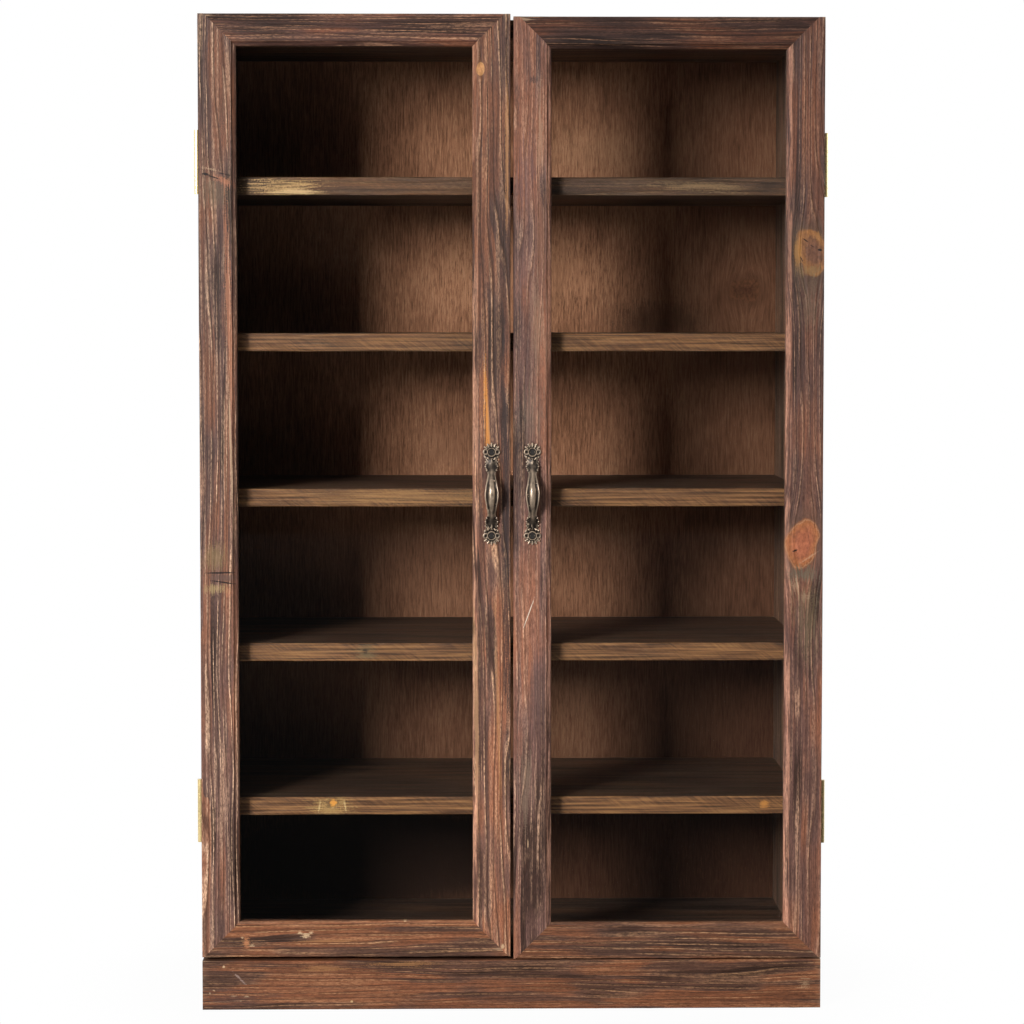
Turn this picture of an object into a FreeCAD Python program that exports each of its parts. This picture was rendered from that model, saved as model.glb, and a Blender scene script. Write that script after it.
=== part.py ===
"""Rustic display cabinet: a plank case on a plinth, five fixed shelves, a plywood back and two glazed doors.

Sizes are in millimetres. X runs to the right, Y from the doors to the back and Z up from the floor.
The origin is on the floor, in the middle of the cabinet's width and of its whole depth, handles included.
"""

import FreeCAD
import Part
import os
from collections import namedtuple
from math import cos, pi, sqrt

V = FreeCAD.Vector

# Case
case_width = 625.0            # over the two sides
case_depth = 280.0            # front edges of the sides to the back
case_height = 996.0           # floor to the upper face of the top board
side_thickness = 18.0
top_thickness = 18.0
bottom_thickness = 18.0
shelf_thickness = 18.0
shelf_count = 5
shelf_setback = 4.0           # shelf fronts behind the front edges of the sides
housing_depth = 5.0           # grooves in the sides that hold the boards
housing_clearance = 0.15
top_rabbet = 9.0              # step under the ends of the top board, over the sides
bottom_rise = 6.0             # upper face of the bottom board above the plinth
back_thickness = 5.0
back_rebate = 9.0             # how far the back panel laps the sides and the top
back_clearance = 0.5
edge_round = 1.5              # worn edges of the shelves, plinth and door frames

# Plinth
plinth_height = 50.0
plinth_thickness = 20.0

# Doors
door_thickness = 20.0
door_top_rise = 1.5           # lower door's top above the case
door_meeting_gap = 3.0
left_door_gap = 4.0           # plinth to the bottom of the left door
right_door_gap = 1.5          # plinth to the bottom of the right door
stile_width = 38.0
top_rail_width = 32.0
bottom_rail_width = 36.0
sight_chamfer = 5.0           # bevel round the glass on the front
glass_rebate_width = 8.0
glass_rebate_depth = 10.0
glass_thickness = 3.0
glass_clearance = 1.0
bead_width = 7.0
bead_splay = 3.0
spline_length = 20.0          # loose tongues in the mitres, measured along the mitre
spline_width = 13.0
spline_thickness = 3.0
spline_clearance = 0.1

# Hinges
hinge_length = 64.0
hinge_inset = 146.0           # door's top and bottom to the middle of a hinge
hinge_gap = 1.2               # between a closed door and the case
leaf_thickness = 1.2
leaf_reach = 16.0             # how far a leaf lies on the wood
leaf_screw_inset = 9.0        # outer face of the case to the leaf screws
leaf_screw_spacing = 22.0
knuckle_radius = 2.6
knuckle_clearance = 0.3       # knuckle to the wood and to the other leaf
end_knuckle = 16.0            # length of an outer knuckle
pin_radius = 1.3
pin_clearance = 0.05
mortise_clearance = 0.2

# Screws
leaf_screw_length = 13.0
leaf_screw_head = 2.8         # radius
leaf_screw_shank = 1.4        # radius
handle_screw_length = 14.0
handle_screw_head = 2.6
handle_screw_shank = 1.4
catch_screw_length = 20.0
strike_screw_length = 10.0
screw_clearance = 0.05
slot_width = 0.7
slot_depth = 0.5

# Handles
handle_drop = 5.0             # both handles' middles below the middle of the left door
handle_centres = 84.0         # between its two screws
handle_standoff = 13.0        # door to the back of the grip
grip_width = 14.0
grip_thickness = 6.5
neck_width = 8.2
neck_thickness = 4.2
leaf_width = 12.4             # leaf shape between the neck and the shell
foot_thickness = 3.0
foot_sink = 1.2               # grip's ends below the door face, dressed flat
rosette_radius = 4.9
rosette_height = 2.4
rim_radius = 4.3
mouth_radius = 3.9            # hollow in the rosette, at its rim
dish_radius = 3.0             # the same hollow, at the screw head
dish_height = 0.8             # door face to the seat of the screw head
shell_radius = 7.8            # thin web under the petals and scrolls
shell_thickness = 0.6
petal_count = 5
petal_step = 27.0             # degrees between petals
petal_start = 1.5             # screw to the thin end of a petal
petal_reach = 9.6             # screw to the tip of a petal
petal_radius = 1.0
petal_height = 2.6            # petals' middle lines above the door, at the screw
petal_fall = 9.0              # degrees, towards the door
scroll_offset = 5.7           # screw to the middle of a side scroll
scroll_radius = 2.2
scroll_wire = 0.9             # radius of the scroll's rim
scroll_height = 1.2           # middle of the rim above the door
tooth_length = 3.6
tooth_radius = 0.9
tooth_lean = 28.0             # degrees from the handle's length
vein_length = 5.2             # two ridges that form a V on the leaf
vein_radius = 0.95
vein_drop = 7.2               # screw to the middle of the V
vein_lean = 46.0

# Magnetic catches
catch_width = 22.0
catch_depth = 14.0
catch_height = 9.0
catch_inset = 16.0            # meeting edge of a door to the middle of its catch
magnet_width = 13.0
magnet_depth = 4.0
magnet_height = 5.0
magnet_clearance = 0.1
strike_width = 18.0
strike_height = 8.0
strike_thickness = 1.0
strike_clearance = 0.3

# Worked out from the sizes above
handle_depth = handle_standoff + grip_thickness
case_back = (handle_depth + door_thickness + hinge_gap + case_depth) / 2
case_front = case_back - case_depth
left_face = -case_width / 2
left_inner = left_face + side_thickness
top_underside = case_height - top_thickness
bottom_top = plinth_height + bottom_rise
bottom_base = bottom_top - bottom_thickness
back_face = case_back - back_thickness
shelf_room = (top_underside - bottom_top - shelf_count * shelf_thickness) / (shelf_count + 1)
shelf_front = case_front + shelf_setback
door_back = case_front - hinge_gap
door_front = door_back - door_thickness
door_width = (case_width - door_meeting_gap) / 2
door_height = case_height + door_top_rise - plinth_height - right_door_gap
left_door_base = plinth_height + left_door_gap
right_door_base = plinth_height + right_door_gap
hinge_levels = {"upper": door_height - hinge_inset, "lower": hinge_inset}
pin_offset = knuckle_radius + knuckle_clearance
leaf_screw_rows = (-leaf_screw_spacing, 0.0, leaf_screw_spacing)
leaf_screw_heights = [level + row for level in hinge_levels.values() for row in leaf_screw_rows]
handle_x = door_width - stile_width / 2
handle_level = left_door_base + door_height / 2 - handle_drop
catch_front = door_back + strike_thickness + strike_clearance
catch_x = -door_meeting_gap / 2 - catch_inset
catch_z = top_underside - catch_height / 2


def box(x0, x1, y0, y1, z0, z1):
    return Part.makeBox(x1 - x0, y1 - y0, z1 - z0, V(x0, y0, z0))


def moved(shape, x, y, z):
    copy = shape.copy()
    copy.translate(V(x, y, z))
    return copy


def turned(shape, axis, degrees):
    copy = shape.copy()
    copy.rotate(V(0, 0, 0), axis, degrees)
    return copy


def group_at(shape, spots):
    """Copies of a shape at several places, as one group of solids."""
    return Part.makeCompound([moved(shape, *spot) for spot in spots])


def mirrored(shape):
    """Left-hand piece to right-hand piece."""
    return shape.mirror(V(0, 0, 0), V(1, 0, 0))


def as_built(shape):
    return shape


def face_of(*edges):
    return Part.Face(Part.Wire([edge.toShape() for edge in edges]))


def revolved(face, axis):
    return face.revolve(V(0, 0, 0), axis, 360)


def rounded_along_x(board):
    """Ease the two long front edges of a board that lies along X."""
    near = board.BoundBox.YMin + edge_round
    fronts = [edge for edge in board.Edges if edge.BoundBox.YMax < near]
    return board.makeFillet(edge_round, [edge for edge in fronts if edge.BoundBox.XLength > edge_round])


# Screws

def screw_body(length, head, shank, grow=0.0):
    """Countersunk wood screw along +Y from its head at the origin; grow turns it into its own hole."""
    head_depth = head - shank
    point = 2 * shank
    corners = [
        V(0, 0),
        V(head + grow, 0),
        V(shank + grow, head_depth),
        V(shank + grow, length - point),
        V(0, length + grow),
    ]
    sides = [Part.LineSegment(a, b) for a, b in zip(corners, corners[1:] + corners[:1])]
    return revolved(face_of(*sides), V(0, 1, 0))


def screw(length, head, shank):
    slot = box(-head, head, 0, slot_depth, -slot_width / 2, slot_width / 2)
    return screw_body(length, head, shank).cut(slot)


def screw_hole(length, head, shank):
    return screw_body(length, head, shank, screw_clearance)


def facing_front(shape):
    """Turn a screw round so that it is driven from the back towards the front."""
    return turned(shape, V(0, 0, 1), 180)


def driven_up(shape):
    return turned(shape, V(1, 0, 0), 90)


leaf_screw_size = (leaf_screw_length, leaf_screw_head, leaf_screw_shank)
handle_screw_size = (handle_screw_length, handle_screw_head, handle_screw_shank)
catch_screw_size = (catch_screw_length, leaf_screw_head, leaf_screw_shank)
strike_screw_size = (strike_screw_length, leaf_screw_head, leaf_screw_shank)


# Case

def shelf_base(number):
    """Underside of a shelf; shelf 1 is the highest."""
    return top_underside - number * (shelf_room + shelf_thickness)


def case_leaf_spots(door_base):
    """Screw places of the left case leaves."""
    x = left_face + leaf_screw_inset
    return [(x, case_front, door_base + height) for height in leaf_screw_heights]


def leaf_mortise():
    """Bed of a hinge leaf, from the outer edge of the wood and a leaf's thickness deep."""
    half = hinge_length / 2 + mortise_clearance
    return box(0, leaf_reach + mortise_clearance, 0, leaf_thickness, -half, half)


def side_panel(door_base):
    """Left side, with housings for the boards, a rebate for the back and mortises for the hinge leaves."""
    panel = box(left_face, left_inner, case_front, case_back, 0, top_underside + top_rabbet)
    groove = left_inner - housing_depth
    grooves = [box(groove, left_inner, case_front, back_face, bottom_base, bottom_top + housing_clearance)]
    for number in range(1, shelf_count + 1):
        base = shelf_base(number)
        top = base + shelf_thickness + housing_clearance
        grooves.append(box(groove, left_inner, shelf_front, back_face, base, top))
    rebate = box(left_inner - back_rebate, left_inner, back_face, case_back, bottom_base, case_height)
    levels = [door_base + level for level in hinge_levels.values()]
    mortises = [moved(leaf_mortise(), left_face, case_front, level) for level in levels]
    holes = [moved(screw_hole(*leaf_screw_size), *spot) for spot in case_leaf_spots(door_base)]
    return panel.cut(grooves + [rebate] + mortises + holes)


def cross_board(front, base, thickness):
    """Board between the sides, with its ends in their housings."""
    end = left_inner - housing_depth + housing_clearance
    return rounded_along_x(box(end, -end, front, back_face, base, base + thickness))


def top_board():
    board = box(left_face, -left_face, case_front, case_back, top_underside, case_height)
    step = box(left_face, left_inner, case_front, case_back, top_underside, top_underside + top_rabbet)
    lap = left_inner - back_rebate
    rebate = box(lap, -lap, back_face, case_back, top_underside, top_underside + back_rebate)
    holes = [place(catch_screw_at(screw_hole(*catch_screw_size))) for place in (as_built, mirrored)]
    return board.cut([step, mirrored(step), rebate] + holes)


def back_panel():
    edge = left_inner - back_rebate + back_clearance
    return box(edge, -edge, back_face, case_back, bottom_base, top_underside + back_rebate - back_clearance)


def plinth_board():
    front = case_front - plinth_thickness
    return rounded_along_x(box(left_face, -left_face, front, case_front, 0, plinth_height))


# Hinges: the pin stands at the origin and both leaves reach towards +X

def knuckle_spans():
    half = hinge_length / 2
    inner = half - end_knuckle
    return {"upper": (inner, half), "middle": (-inner, inner), "lower": (-half, -inner)}


def hinge_leaf(owned, inner, outer):
    """Leaf between two depths, with the named knuckles rolled on it and room for the other leaf's."""
    half = hinge_length / 2
    play = knuckle_clearance / 2
    plate = box(0, pin_offset + leaf_reach, min(inner, outer), max(inner, outer), -half, half)
    knuckles = []
    for name, (low, high) in knuckle_spans().items():
        if name in owned:
            start = low if low == -half else low + play
            end = high if high == half else high - play
            knuckles.append(Part.makeCylinder(knuckle_radius, end - start, V(0, 0, start)))
        else:
            room = box(-pin_offset, pin_offset, -pin_offset, pin_offset, low - play, high + play)
            plate = plate.cut(room)
    bore = Part.makeCylinder(pin_radius + pin_clearance, hinge_length, V(0, 0, -half))
    return plate.fuse(knuckles).cut(bore).removeSplitter()


def case_leaf():
    """Leaf on the side's front edge; it carries the middle knuckle."""
    inner = hinge_gap / 2
    leaf = hinge_leaf(("middle",), inner, inner + leaf_thickness)
    hole = screw_hole(*leaf_screw_size)
    return leaf.cut([moved(hole, pin_offset + leaf_screw_inset, inner, row) for row in leaf_screw_rows])


def door_leaf():
    """Leaf on the back of the door; it carries the two outer knuckles."""
    inner = -hinge_gap / 2
    leaf = hinge_leaf(("upper", "lower"), inner, inner - leaf_thickness)
    hole = facing_front(screw_hole(*leaf_screw_size))
    return leaf.cut([moved(hole, pin_offset + leaf_screw_inset, inner, row) for row in leaf_screw_rows])


def hinge_pin():
    return Part.makeCylinder(pin_radius, hinge_length, V(0, 0, -hinge_length / 2))


def at_hinge(shape, door_base, level):
    """Put a hinge piece on the left pin's line."""
    return moved(shape, left_face - pin_offset, case_front - hinge_gap / 2, door_base + hinge_levels[level])


# Cast handle: Y is 0 on the door face, the grip stands out towards -Y, the middle is at Z 0

def ease(value, start, end):
    """Smooth step from 0 at start to 1 at end."""
    share = min(max((value - start) / (end - start), 0.0), 1.0)
    return (1.0 - cos(pi * share)) / 2.0


def grip_form(along):
    """Half width, back, thickness and belly share of the grip; along is 0 in the middle and 1 at a screw."""
    away = abs(along)
    belly = 1.0 - ease(away, 0.0, 0.5)
    leaf = ease(away, 0.5, 0.62)
    half_width = (neck_width + belly * (grip_width - neck_width) + leaf * (leaf_width - neck_width)) / 2
    back = handle_standoff - (handle_standoff + foot_sink) * ease(away, 0.08, 0.9)
    thickness = neck_thickness + belly * (grip_thickness - neck_thickness)
    thickness += leaf * (foot_thickness - neck_thickness)
    return half_width, back, thickness, belly


def grip_section(along):
    """Closed section: a hollowed back, a rim along each edge, a groove inside it and a crowned middle."""
    half_width, back, thickness, belly = grip_form(along)
    edge = 0.42
    groove = 0.78 - 0.34 * belly
    crown = [(1.0, edge), (0.88, 0.68), (0.66, groove), (0.36, 0.88), (0.0, 1.0)]
    crown = crown + [(-across, height) for across, height in reversed(crown[:-1])]
    z = along * handle_centres / 2
    front = [V(across * half_width, -back - height * thickness, z) for across, height in crown]
    curve = Part.BSplineCurve()
    curve.interpolate(front)
    hollow = Part.Arc(front[-1], V(0, -back, z), front[0])
    return Part.Wire([curve.toShape(), hollow.toShape()])


def grip():
    half = [0.14, 0.28, 0.4, 0.5, 0.56, 0.62, 0.72, 0.84, 0.97]
    stations = [-along for along in reversed(half)] + [0.0] + half
    return Part.makeLoft([grip_section(along) for along in stations], True)


def petal(start, tip, radius):
    """Teardrop along +Z that swells from its start to a round tip."""
    shoulder = tip - radius
    bulge = radius / sqrt(2)
    swell = Part.LineSegment(V(0, 0, start), V(radius, 0, shoulder))
    cap = Part.Arc(V(radius, 0, shoulder), V(bulge, 0, shoulder + bulge), V(0, 0, tip))
    spine = Part.LineSegment(V(0, 0, tip), V(0, 0, start))
    return revolved(face_of(swell, cap, spine), V(0, 0, 1))


def rosette():
    """Raised round boss that holds the screw."""
    shoulder = rosette_height / 2
    corners = [
        V(0, 0),
        V(rosette_radius, 0),
        V(rosette_radius, -shoulder),
        V(rim_radius, -rosette_height),
        V(0, -rosette_height),
    ]
    sides = [Part.LineSegment(a, b) for a, b in zip(corners, corners[1:] + corners[:1])]
    return revolved(face_of(*sides), V(0, 1, 0))


def dish():
    """Conical hollow from the seat of the screw head outwards, twice as deep as the rosette needs."""
    depth = rosette_height - dish_height
    return Part.makeCone(dish_radius, 2 * mouth_radius - dish_radius, 2 * depth, V(0, 0, 0), V(0, -1, 0))


def shell_end():
    """Upper end: hollow seat, fan of petals, side scrolls and a veined leaf with toothed edges."""
    web = Part.makeCylinder(shell_radius, shell_thickness, V(0, 0, 0), V(0, -1, 0))
    pieces = [rosette(), web]
    single = turned(petal(petal_start, petal_reach, petal_radius), V(1, 0, 0), -petal_fall)
    for number in range(petal_count):
        turn = petal_step * (number - (petal_count - 1) / 2)
        pieces.append(moved(turned(single, V(0, 1, 0), turn), 0, -petal_height, 0))
    tooth = petal(-tooth_length / 2, tooth_length / 2, tooth_radius)
    vein = petal(-vein_length / 2, vein_length / 2, vein_radius)
    for side in (-1, 1):
        middle = V(side * scroll_offset, -scroll_height, 0)
        pieces.append(Part.makeTorus(scroll_radius, scroll_wire, middle, V(0, 1, 0)))
        for along in (0.55, 0.64, 0.745, 0.86):
            half_width, back, thickness, _ = grip_form(along)
            out = max(back + thickness / 2, scroll_height)
            place = (side * 0.9 * half_width, -out, (along - 1) * handle_centres / 2)
            pieces.append(moved(turned(tooth, V(0, 1, 0), side * tooth_lean), *place))
        _, back, thickness, _ = grip_form(1 - vein_drop / (handle_centres / 2))
        place = (side * leaf_width / 5, -back - 0.95 * thickness, -vein_drop)
        pieces.append(moved(turned(vein, V(0, 1, 0), side * vein_lean), *place))
    return [moved(piece, 0, 0, handle_centres / 2) for piece in pieces]


def handle_screw_spots():
    return [(0, -dish_height, side * handle_centres / 2) for side in (-1, 1)]


def handle():
    upper = shell_end()
    lower = [piece.mirror(V(0, 0, 0), V(0, 0, 1)) for piece in upper]
    body = grip().fuse(upper + lower)
    reach = handle_centres + petal_reach
    inside_door = box(-reach, reach, 0, reach, -reach, reach)
    holes = [moved(screw_hole(*handle_screw_size), *spot) for spot in handle_screw_spots()]
    dishes = [moved(dish(), *spot) for spot in handle_screw_spots()]
    return body.cut([inside_door] + holes + dishes)


# Doors: X from the hinge edge, Y from the front face, Z from the bottom edge

def frame_stock(width, length):
    """Door stock along Z: outer edge at X 0, rounded outside, bevelled and rebated towards the glass."""
    lip = door_thickness - glass_rebate_depth
    seat = width - glass_rebate_width
    soft = edge_round
    bend = soft * (1 - 1 / sqrt(2))
    back = door_thickness
    outline = [
        Part.Arc(V(0, soft), V(bend, bend), V(soft, 0)),
        Part.LineSegment(V(soft, 0), V(width - sight_chamfer, 0)),
        Part.LineSegment(V(width - sight_chamfer, 0), V(width, sight_chamfer)),
        Part.LineSegment(V(width, sight_chamfer), V(width, lip)),
        Part.LineSegment(V(width, lip), V(seat, lip)),
        Part.LineSegment(V(seat, lip), V(seat, back)),
        Part.LineSegment(V(seat, back), V(soft, back)),
        Part.Arc(V(soft, back), V(bend, back - bend), V(0, back - soft)),
        Part.LineSegment(V(0, back - soft), V(0, soft)),
    ]
    return face_of(*outline).extrude(V(0, 0, length))


Corner = namedtuple("Corner", "x z out_x out_z")


def mitre_corners():
    """Inner corners of the frame, each with the direction of its mitre outwards."""
    right = door_width - stile_width
    top = door_height - top_rail_width
    return [
        Corner(stile_width, bottom_rail_width, -1, -1),
        Corner(right, bottom_rail_width, 1, -1),
        Corner(stile_width, top, -1, 1),
        Corner(right, top, 1, 1),
    ]


def past_mitre(corner, towards):
    """Everything past the 45 degree mitre through a corner, on the side that the direction points to."""
    reach = door_width + door_height
    waste = Part.makeBox(2 * reach, 3 * door_thickness, reach, V(-reach, -door_thickness, 0))
    turn = FreeCAD.Rotation(V(0, 0, 1), towards)
    waste.Placement = FreeCAD.Placement(V(corner.x, 0, corner.z), turn).multiply(waste.Placement)
    return waste


def mitred_stile(stock, side):
    """Cut both ends of a stile; side is -1 at the hinges and 1 where the doors meet."""
    ends = [corner for corner in mitre_corners() if corner.out_x == side]
    return stock.cut([past_mitre(corner, V(-corner.out_x, 0, corner.out_z)) for corner in ends])


def mitred_rail(stock, side):
    """Cut both ends of a rail; side is -1 at the bottom and 1 at the top."""
    ends = [corner for corner in mitre_corners() if corner.out_z == side]
    return stock.cut([past_mitre(corner, V(corner.out_x, 0, -corner.out_z)) for corner in ends])


def mitre_splines(clearance):
    """Loose tongues across the mitres, halfway between the front bevel and the glass rebate."""
    depth = (sight_chamfer + door_thickness - glass_rebate_depth) / 2
    half_length = spline_length / 2 + clearance
    half_width = spline_width / 2 + clearance
    half_thickness = spline_thickness / 2 + clearance
    tongues = []
    for corner in mitre_corners():
        tongue = box(-half_length, half_length, -half_thickness, half_thickness, -half_width, half_width)
        tongue = turned(tongue, V(0, 1, 0), -45 * corner.out_x * corner.out_z)
        middle = (top_rail_width if corner.out_z > 0 else bottom_rail_width) / 2
        place = (corner.x + corner.out_x * middle, depth, corner.z + corner.out_z * middle)
        tongues.append(moved(tongue, *place))
    return tongues


def door_leaf_spots():
    """Screw places of the door leaves."""
    return [(leaf_screw_inset, door_thickness, height) for height in leaf_screw_heights]


def door_handle_spots(door_base):
    return [(handle_x + x, y, handle_level - door_base + z) for x, y, z in handle_screw_spots()]


def door_frame(handle_spots, strike_spot):
    """Two stiles and two rails with mitred ends, hinge mortises and screw holes."""
    upright = V(0, 1, 0)
    stile = frame_stock(stile_width, door_height)
    top = frame_stock(top_rail_width, door_width)
    bottom = frame_stock(bottom_rail_width, door_width)
    frame = {
        "hinge_stile": mitred_stile(stile, -1),
        "meeting_stile": mitred_stile(moved(turned(stile, upright, 180), door_width, 0, door_height), 1),
        "top_rail": mitred_rail(moved(turned(top, upright, 90), 0, 0, door_height), 1),
        "bottom_rail": mitred_rail(moved(turned(bottom, upright, -90), door_width, 0, 0), -1),
    }
    slots = mitre_splines(spline_clearance)
    frame = {name: member.cut(slots) for name, member in frame.items()}
    bed = door_thickness - leaf_thickness
    mortises = [moved(leaf_mortise(), 0, bed, level) for level in hinge_levels.values()]
    leaf_hole = facing_front(screw_hole(*leaf_screw_size))
    leaf_holes = [moved(leaf_hole, *spot) for spot in door_leaf_spots()]
    handle_holes = [moved(screw_hole(*handle_screw_size), *spot) for spot in handle_spots]
    strike_hole = moved(facing_front(screw_hole(*strike_screw_size)), *strike_spot)
    frame["hinge_stile"] = frame["hinge_stile"].cut(mortises + leaf_holes)
    frame["meeting_stile"] = frame["meeting_stile"].cut(handle_holes + [strike_hole])
    return frame


def glass():
    left = stile_width - glass_rebate_width + glass_clearance
    low = bottom_rail_width - glass_rebate_width + glass_clearance
    high = door_height - top_rail_width + glass_rebate_width - glass_clearance
    front = door_thickness - glass_rebate_depth
    return box(left, door_width - left, front, front + glass_thickness, low, high)


def bead(length):
    """Glazing bead along Z: outer edge at X 0, splayed on the corner that shows inside the case."""
    front = door_thickness - glass_rebate_depth + glass_thickness
    back = door_thickness
    corners = [
        V(0, front),
        V(bead_width, front),
        V(bead_width, back - bead_splay),
        V(bead_width - bead_splay, back),
        V(0, back),
    ]
    sides = [Part.LineSegment(a, b) for a, b in zip(corners, corners[1:] + corners[:1])]
    return face_of(*sides).extrude(V(0, 0, length))


def glazing_beads():
    """Two upright beads over the full height of the rebate, and two between them."""
    upright = V(0, 1, 0)
    left = stile_width - glass_rebate_width
    low = bottom_rail_width - glass_rebate_width
    high = door_height - top_rail_width + glass_rebate_width
    right = door_width - left
    tall = bead(high - low)
    wide = bead(right - left - 2 * bead_width)
    return Part.makeCompound([
        moved(tall, left, 0, low),
        moved(turned(tall, upright, 180), right, 0, high),
        moved(turned(wide, upright, 90), left + bead_width, 0, high),
        moved(turned(wide, upright, -90), right - bead_width, 0, low),
    ])


def strike_plate(spot):
    half_width = strike_width / 2
    half_height = strike_height / 2
    plate = box(-half_width, half_width, -strike_thickness, 0, -half_height, half_height)
    return moved(plate.cut(facing_front(screw_hole(*strike_screw_size))), *spot)


def door_pieces(door_base):
    """Pieces of the left door, in the cabinet's frame."""
    strike_spot = (catch_x - left_face, door_thickness + strike_thickness, catch_z - door_base)
    handle_spots = door_handle_spots(door_base)
    pieces = door_frame(handle_spots, strike_spot)
    pieces["mitre_splines"] = Part.makeCompound(mitre_splines(0))
    pieces["glass"] = glass()
    pieces["glazing_beads"] = glazing_beads()
    pieces["handle"] = moved(handle(), handle_x, 0, handle_level - door_base)
    pieces["handle_screws"] = group_at(screw(*handle_screw_size), handle_spots)
    pieces["door_leaf_screws"] = group_at(facing_front(screw(*leaf_screw_size)), door_leaf_spots())
    pieces["strike_plate"] = strike_plate(strike_spot)
    pieces["strike_screw"] = moved(facing_front(screw(*strike_screw_size)), *strike_spot)
    placed = {name: moved(shape, left_face, door_front, door_base) for name, shape in pieces.items()}
    for level in hinge_levels:
        placed[f"{level}_door_leaf"] = at_hinge(door_leaf(), door_base, level)
    return placed


# Magnetic catches under the top board

def magnet_room(clearance):
    half_width = magnet_width / 2 + clearance
    half_height = magnet_height / 2 + clearance
    return box(
        catch_x - half_width, catch_x + half_width,
        catch_front, catch_front + magnet_depth + clearance,
        catch_z - half_height, catch_z + half_height,
    )


def catch_screw_at(shape):
    """Stand a screw in the catch, behind the magnet, pointing up into the top board."""
    middle = catch_front + (magnet_depth + catch_depth) / 2
    return moved(driven_up(shape), catch_x, middle, top_underside - catch_height)


def catch_case():
    half = catch_width / 2
    body = box(
        catch_x - half, catch_x + half,
        catch_front, catch_front + catch_depth,
        top_underside - catch_height, top_underside,
    )
    return body.cut([magnet_room(magnet_clearance), catch_screw_at(screw_hole(*catch_screw_size))])


def build():
    """Every piece by its name."""
    pieces = {
        "top_board": top_board(),
        "bottom_board": cross_board(case_front, bottom_base, bottom_thickness),
        "back_panel": back_panel(),
        "plinth_board": plinth_board(),
    }
    for number in range(1, shelf_count + 1):
        pieces[f"shelf_{number}"] = cross_board(shelf_front, shelf_base(number), shelf_thickness)
    case_screws = []
    catch_screws = []
    hands = (("left", left_door_base, as_built), ("right", right_door_base, mirrored))
    for hand, door_base, place in hands:
        pieces[f"side_{hand}"] = place(side_panel(door_base))
        for level in hinge_levels:
            pieces[f"{hand}_{level}_case_leaf"] = place(at_hinge(case_leaf(), door_base, level))
            pieces[f"{hand}_{level}_hinge_pin"] = place(at_hinge(hinge_pin(), door_base, level))
        case_screws += [place(moved(screw(*leaf_screw_size), *spot)) for spot in case_leaf_spots(door_base)]
        pieces[f"{hand}_catch_case"] = place(catch_case())
        pieces[f"{hand}_catch_magnet"] = place(magnet_room(0))
        catch_screws.append(place(catch_screw_at(screw(*catch_screw_size))))
        for name, shape in door_pieces(door_base).items():
            pieces[f"{hand}_{name}"] = place(shape)
    pieces["case_leaf_screws"] = Part.makeCompound(case_screws)
    pieces["catch_screws"] = Part.makeCompound(catch_screws)
    return pieces


os.makedirs("parts", exist_ok=True)
for name, shape in sorted(build().items()):
    shape.exportStep(f"parts/{name}.step")
    state = "valid" if shape.isValid() else "NOT VALID"
    print(f"{name}: {len(shape.Solids)} solids, {shape.Volume / 1000:.2f} cm3, {state}")
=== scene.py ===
# %% [markdown]
# # A rustic display cabinet
# The cabinet is a plank case with five shelves and two glazed doors, in dark-stained and wire-brushed fir.
# Its construction is already there as solids in metres, so this lesson dresses it: worn boards take the
# place of the plain ones, and every surface gets a finish made of nodes.

# %% Load the cabinet
import bpy
from collections import namedtuple
from math import atan2, cos, radians, sin
from mathutils import Matrix, Vector


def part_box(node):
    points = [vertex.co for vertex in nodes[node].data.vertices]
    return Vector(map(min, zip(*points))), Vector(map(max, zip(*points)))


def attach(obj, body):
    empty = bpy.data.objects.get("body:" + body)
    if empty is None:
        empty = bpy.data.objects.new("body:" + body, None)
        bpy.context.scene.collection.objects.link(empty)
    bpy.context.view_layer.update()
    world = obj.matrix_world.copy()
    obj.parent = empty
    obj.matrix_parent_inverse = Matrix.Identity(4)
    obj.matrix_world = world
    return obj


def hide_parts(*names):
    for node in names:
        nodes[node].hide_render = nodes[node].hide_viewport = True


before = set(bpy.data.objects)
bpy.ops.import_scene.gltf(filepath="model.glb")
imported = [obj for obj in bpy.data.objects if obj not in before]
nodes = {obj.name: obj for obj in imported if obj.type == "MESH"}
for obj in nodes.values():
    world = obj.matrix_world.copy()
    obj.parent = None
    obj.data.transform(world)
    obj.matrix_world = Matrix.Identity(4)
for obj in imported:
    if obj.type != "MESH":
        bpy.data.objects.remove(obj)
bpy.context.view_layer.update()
MM = 0.001

# %% [markdown]
# ## Camera
# The photograph was taken from in front, a little above the middle of the cabinet, with a long lens. The
# shelves' perspective gives the eye's height and distance. The camera tilts down a little, because a large
# lens shift would push the cabinet out of the frame in every other view.

# %% Camera
EYE_HEIGHT = 0.6925
EYE_ASIDE = -0.05             # a little left of the middle: more of the right-hand wall shows
EYE_DISTANCE = 3.0            # from the door fronts
LENS = 105.4                  # millimetres, on a sensor 36 mm wide
TILT = 3.0                    # degrees down
LENS_SHIFT = -0.0306


def select_none():
    bpy.ops.object.select_all(action="DESELECT")


door_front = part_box("left_meeting_stile")[0].y
select_none()
bpy.ops.object.camera_add(
    location=(EYE_ASIDE, door_front - EYE_DISTANCE, EYE_HEIGHT),
    rotation=(radians(90 - TILT), 0, atan2(EYE_ASIDE, EYE_DISTANCE)),
)
camera = bpy.context.object
camera.data.lens = LENS
camera.data.shift_y = LENS_SHIFT
bpy.context.scene.camera = camera
bpy.context.scene.view_settings.view_transform = "Standard"
print("camera at", tuple(camera.location))

# %% [markdown]
# ## Finishes as small node trees
# A finish is a Principled shader with a few nodes in front of it. Adding nodes one by one makes long
# scripts, so this small class adds a node, sets or links its inputs and hands back the output.


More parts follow.
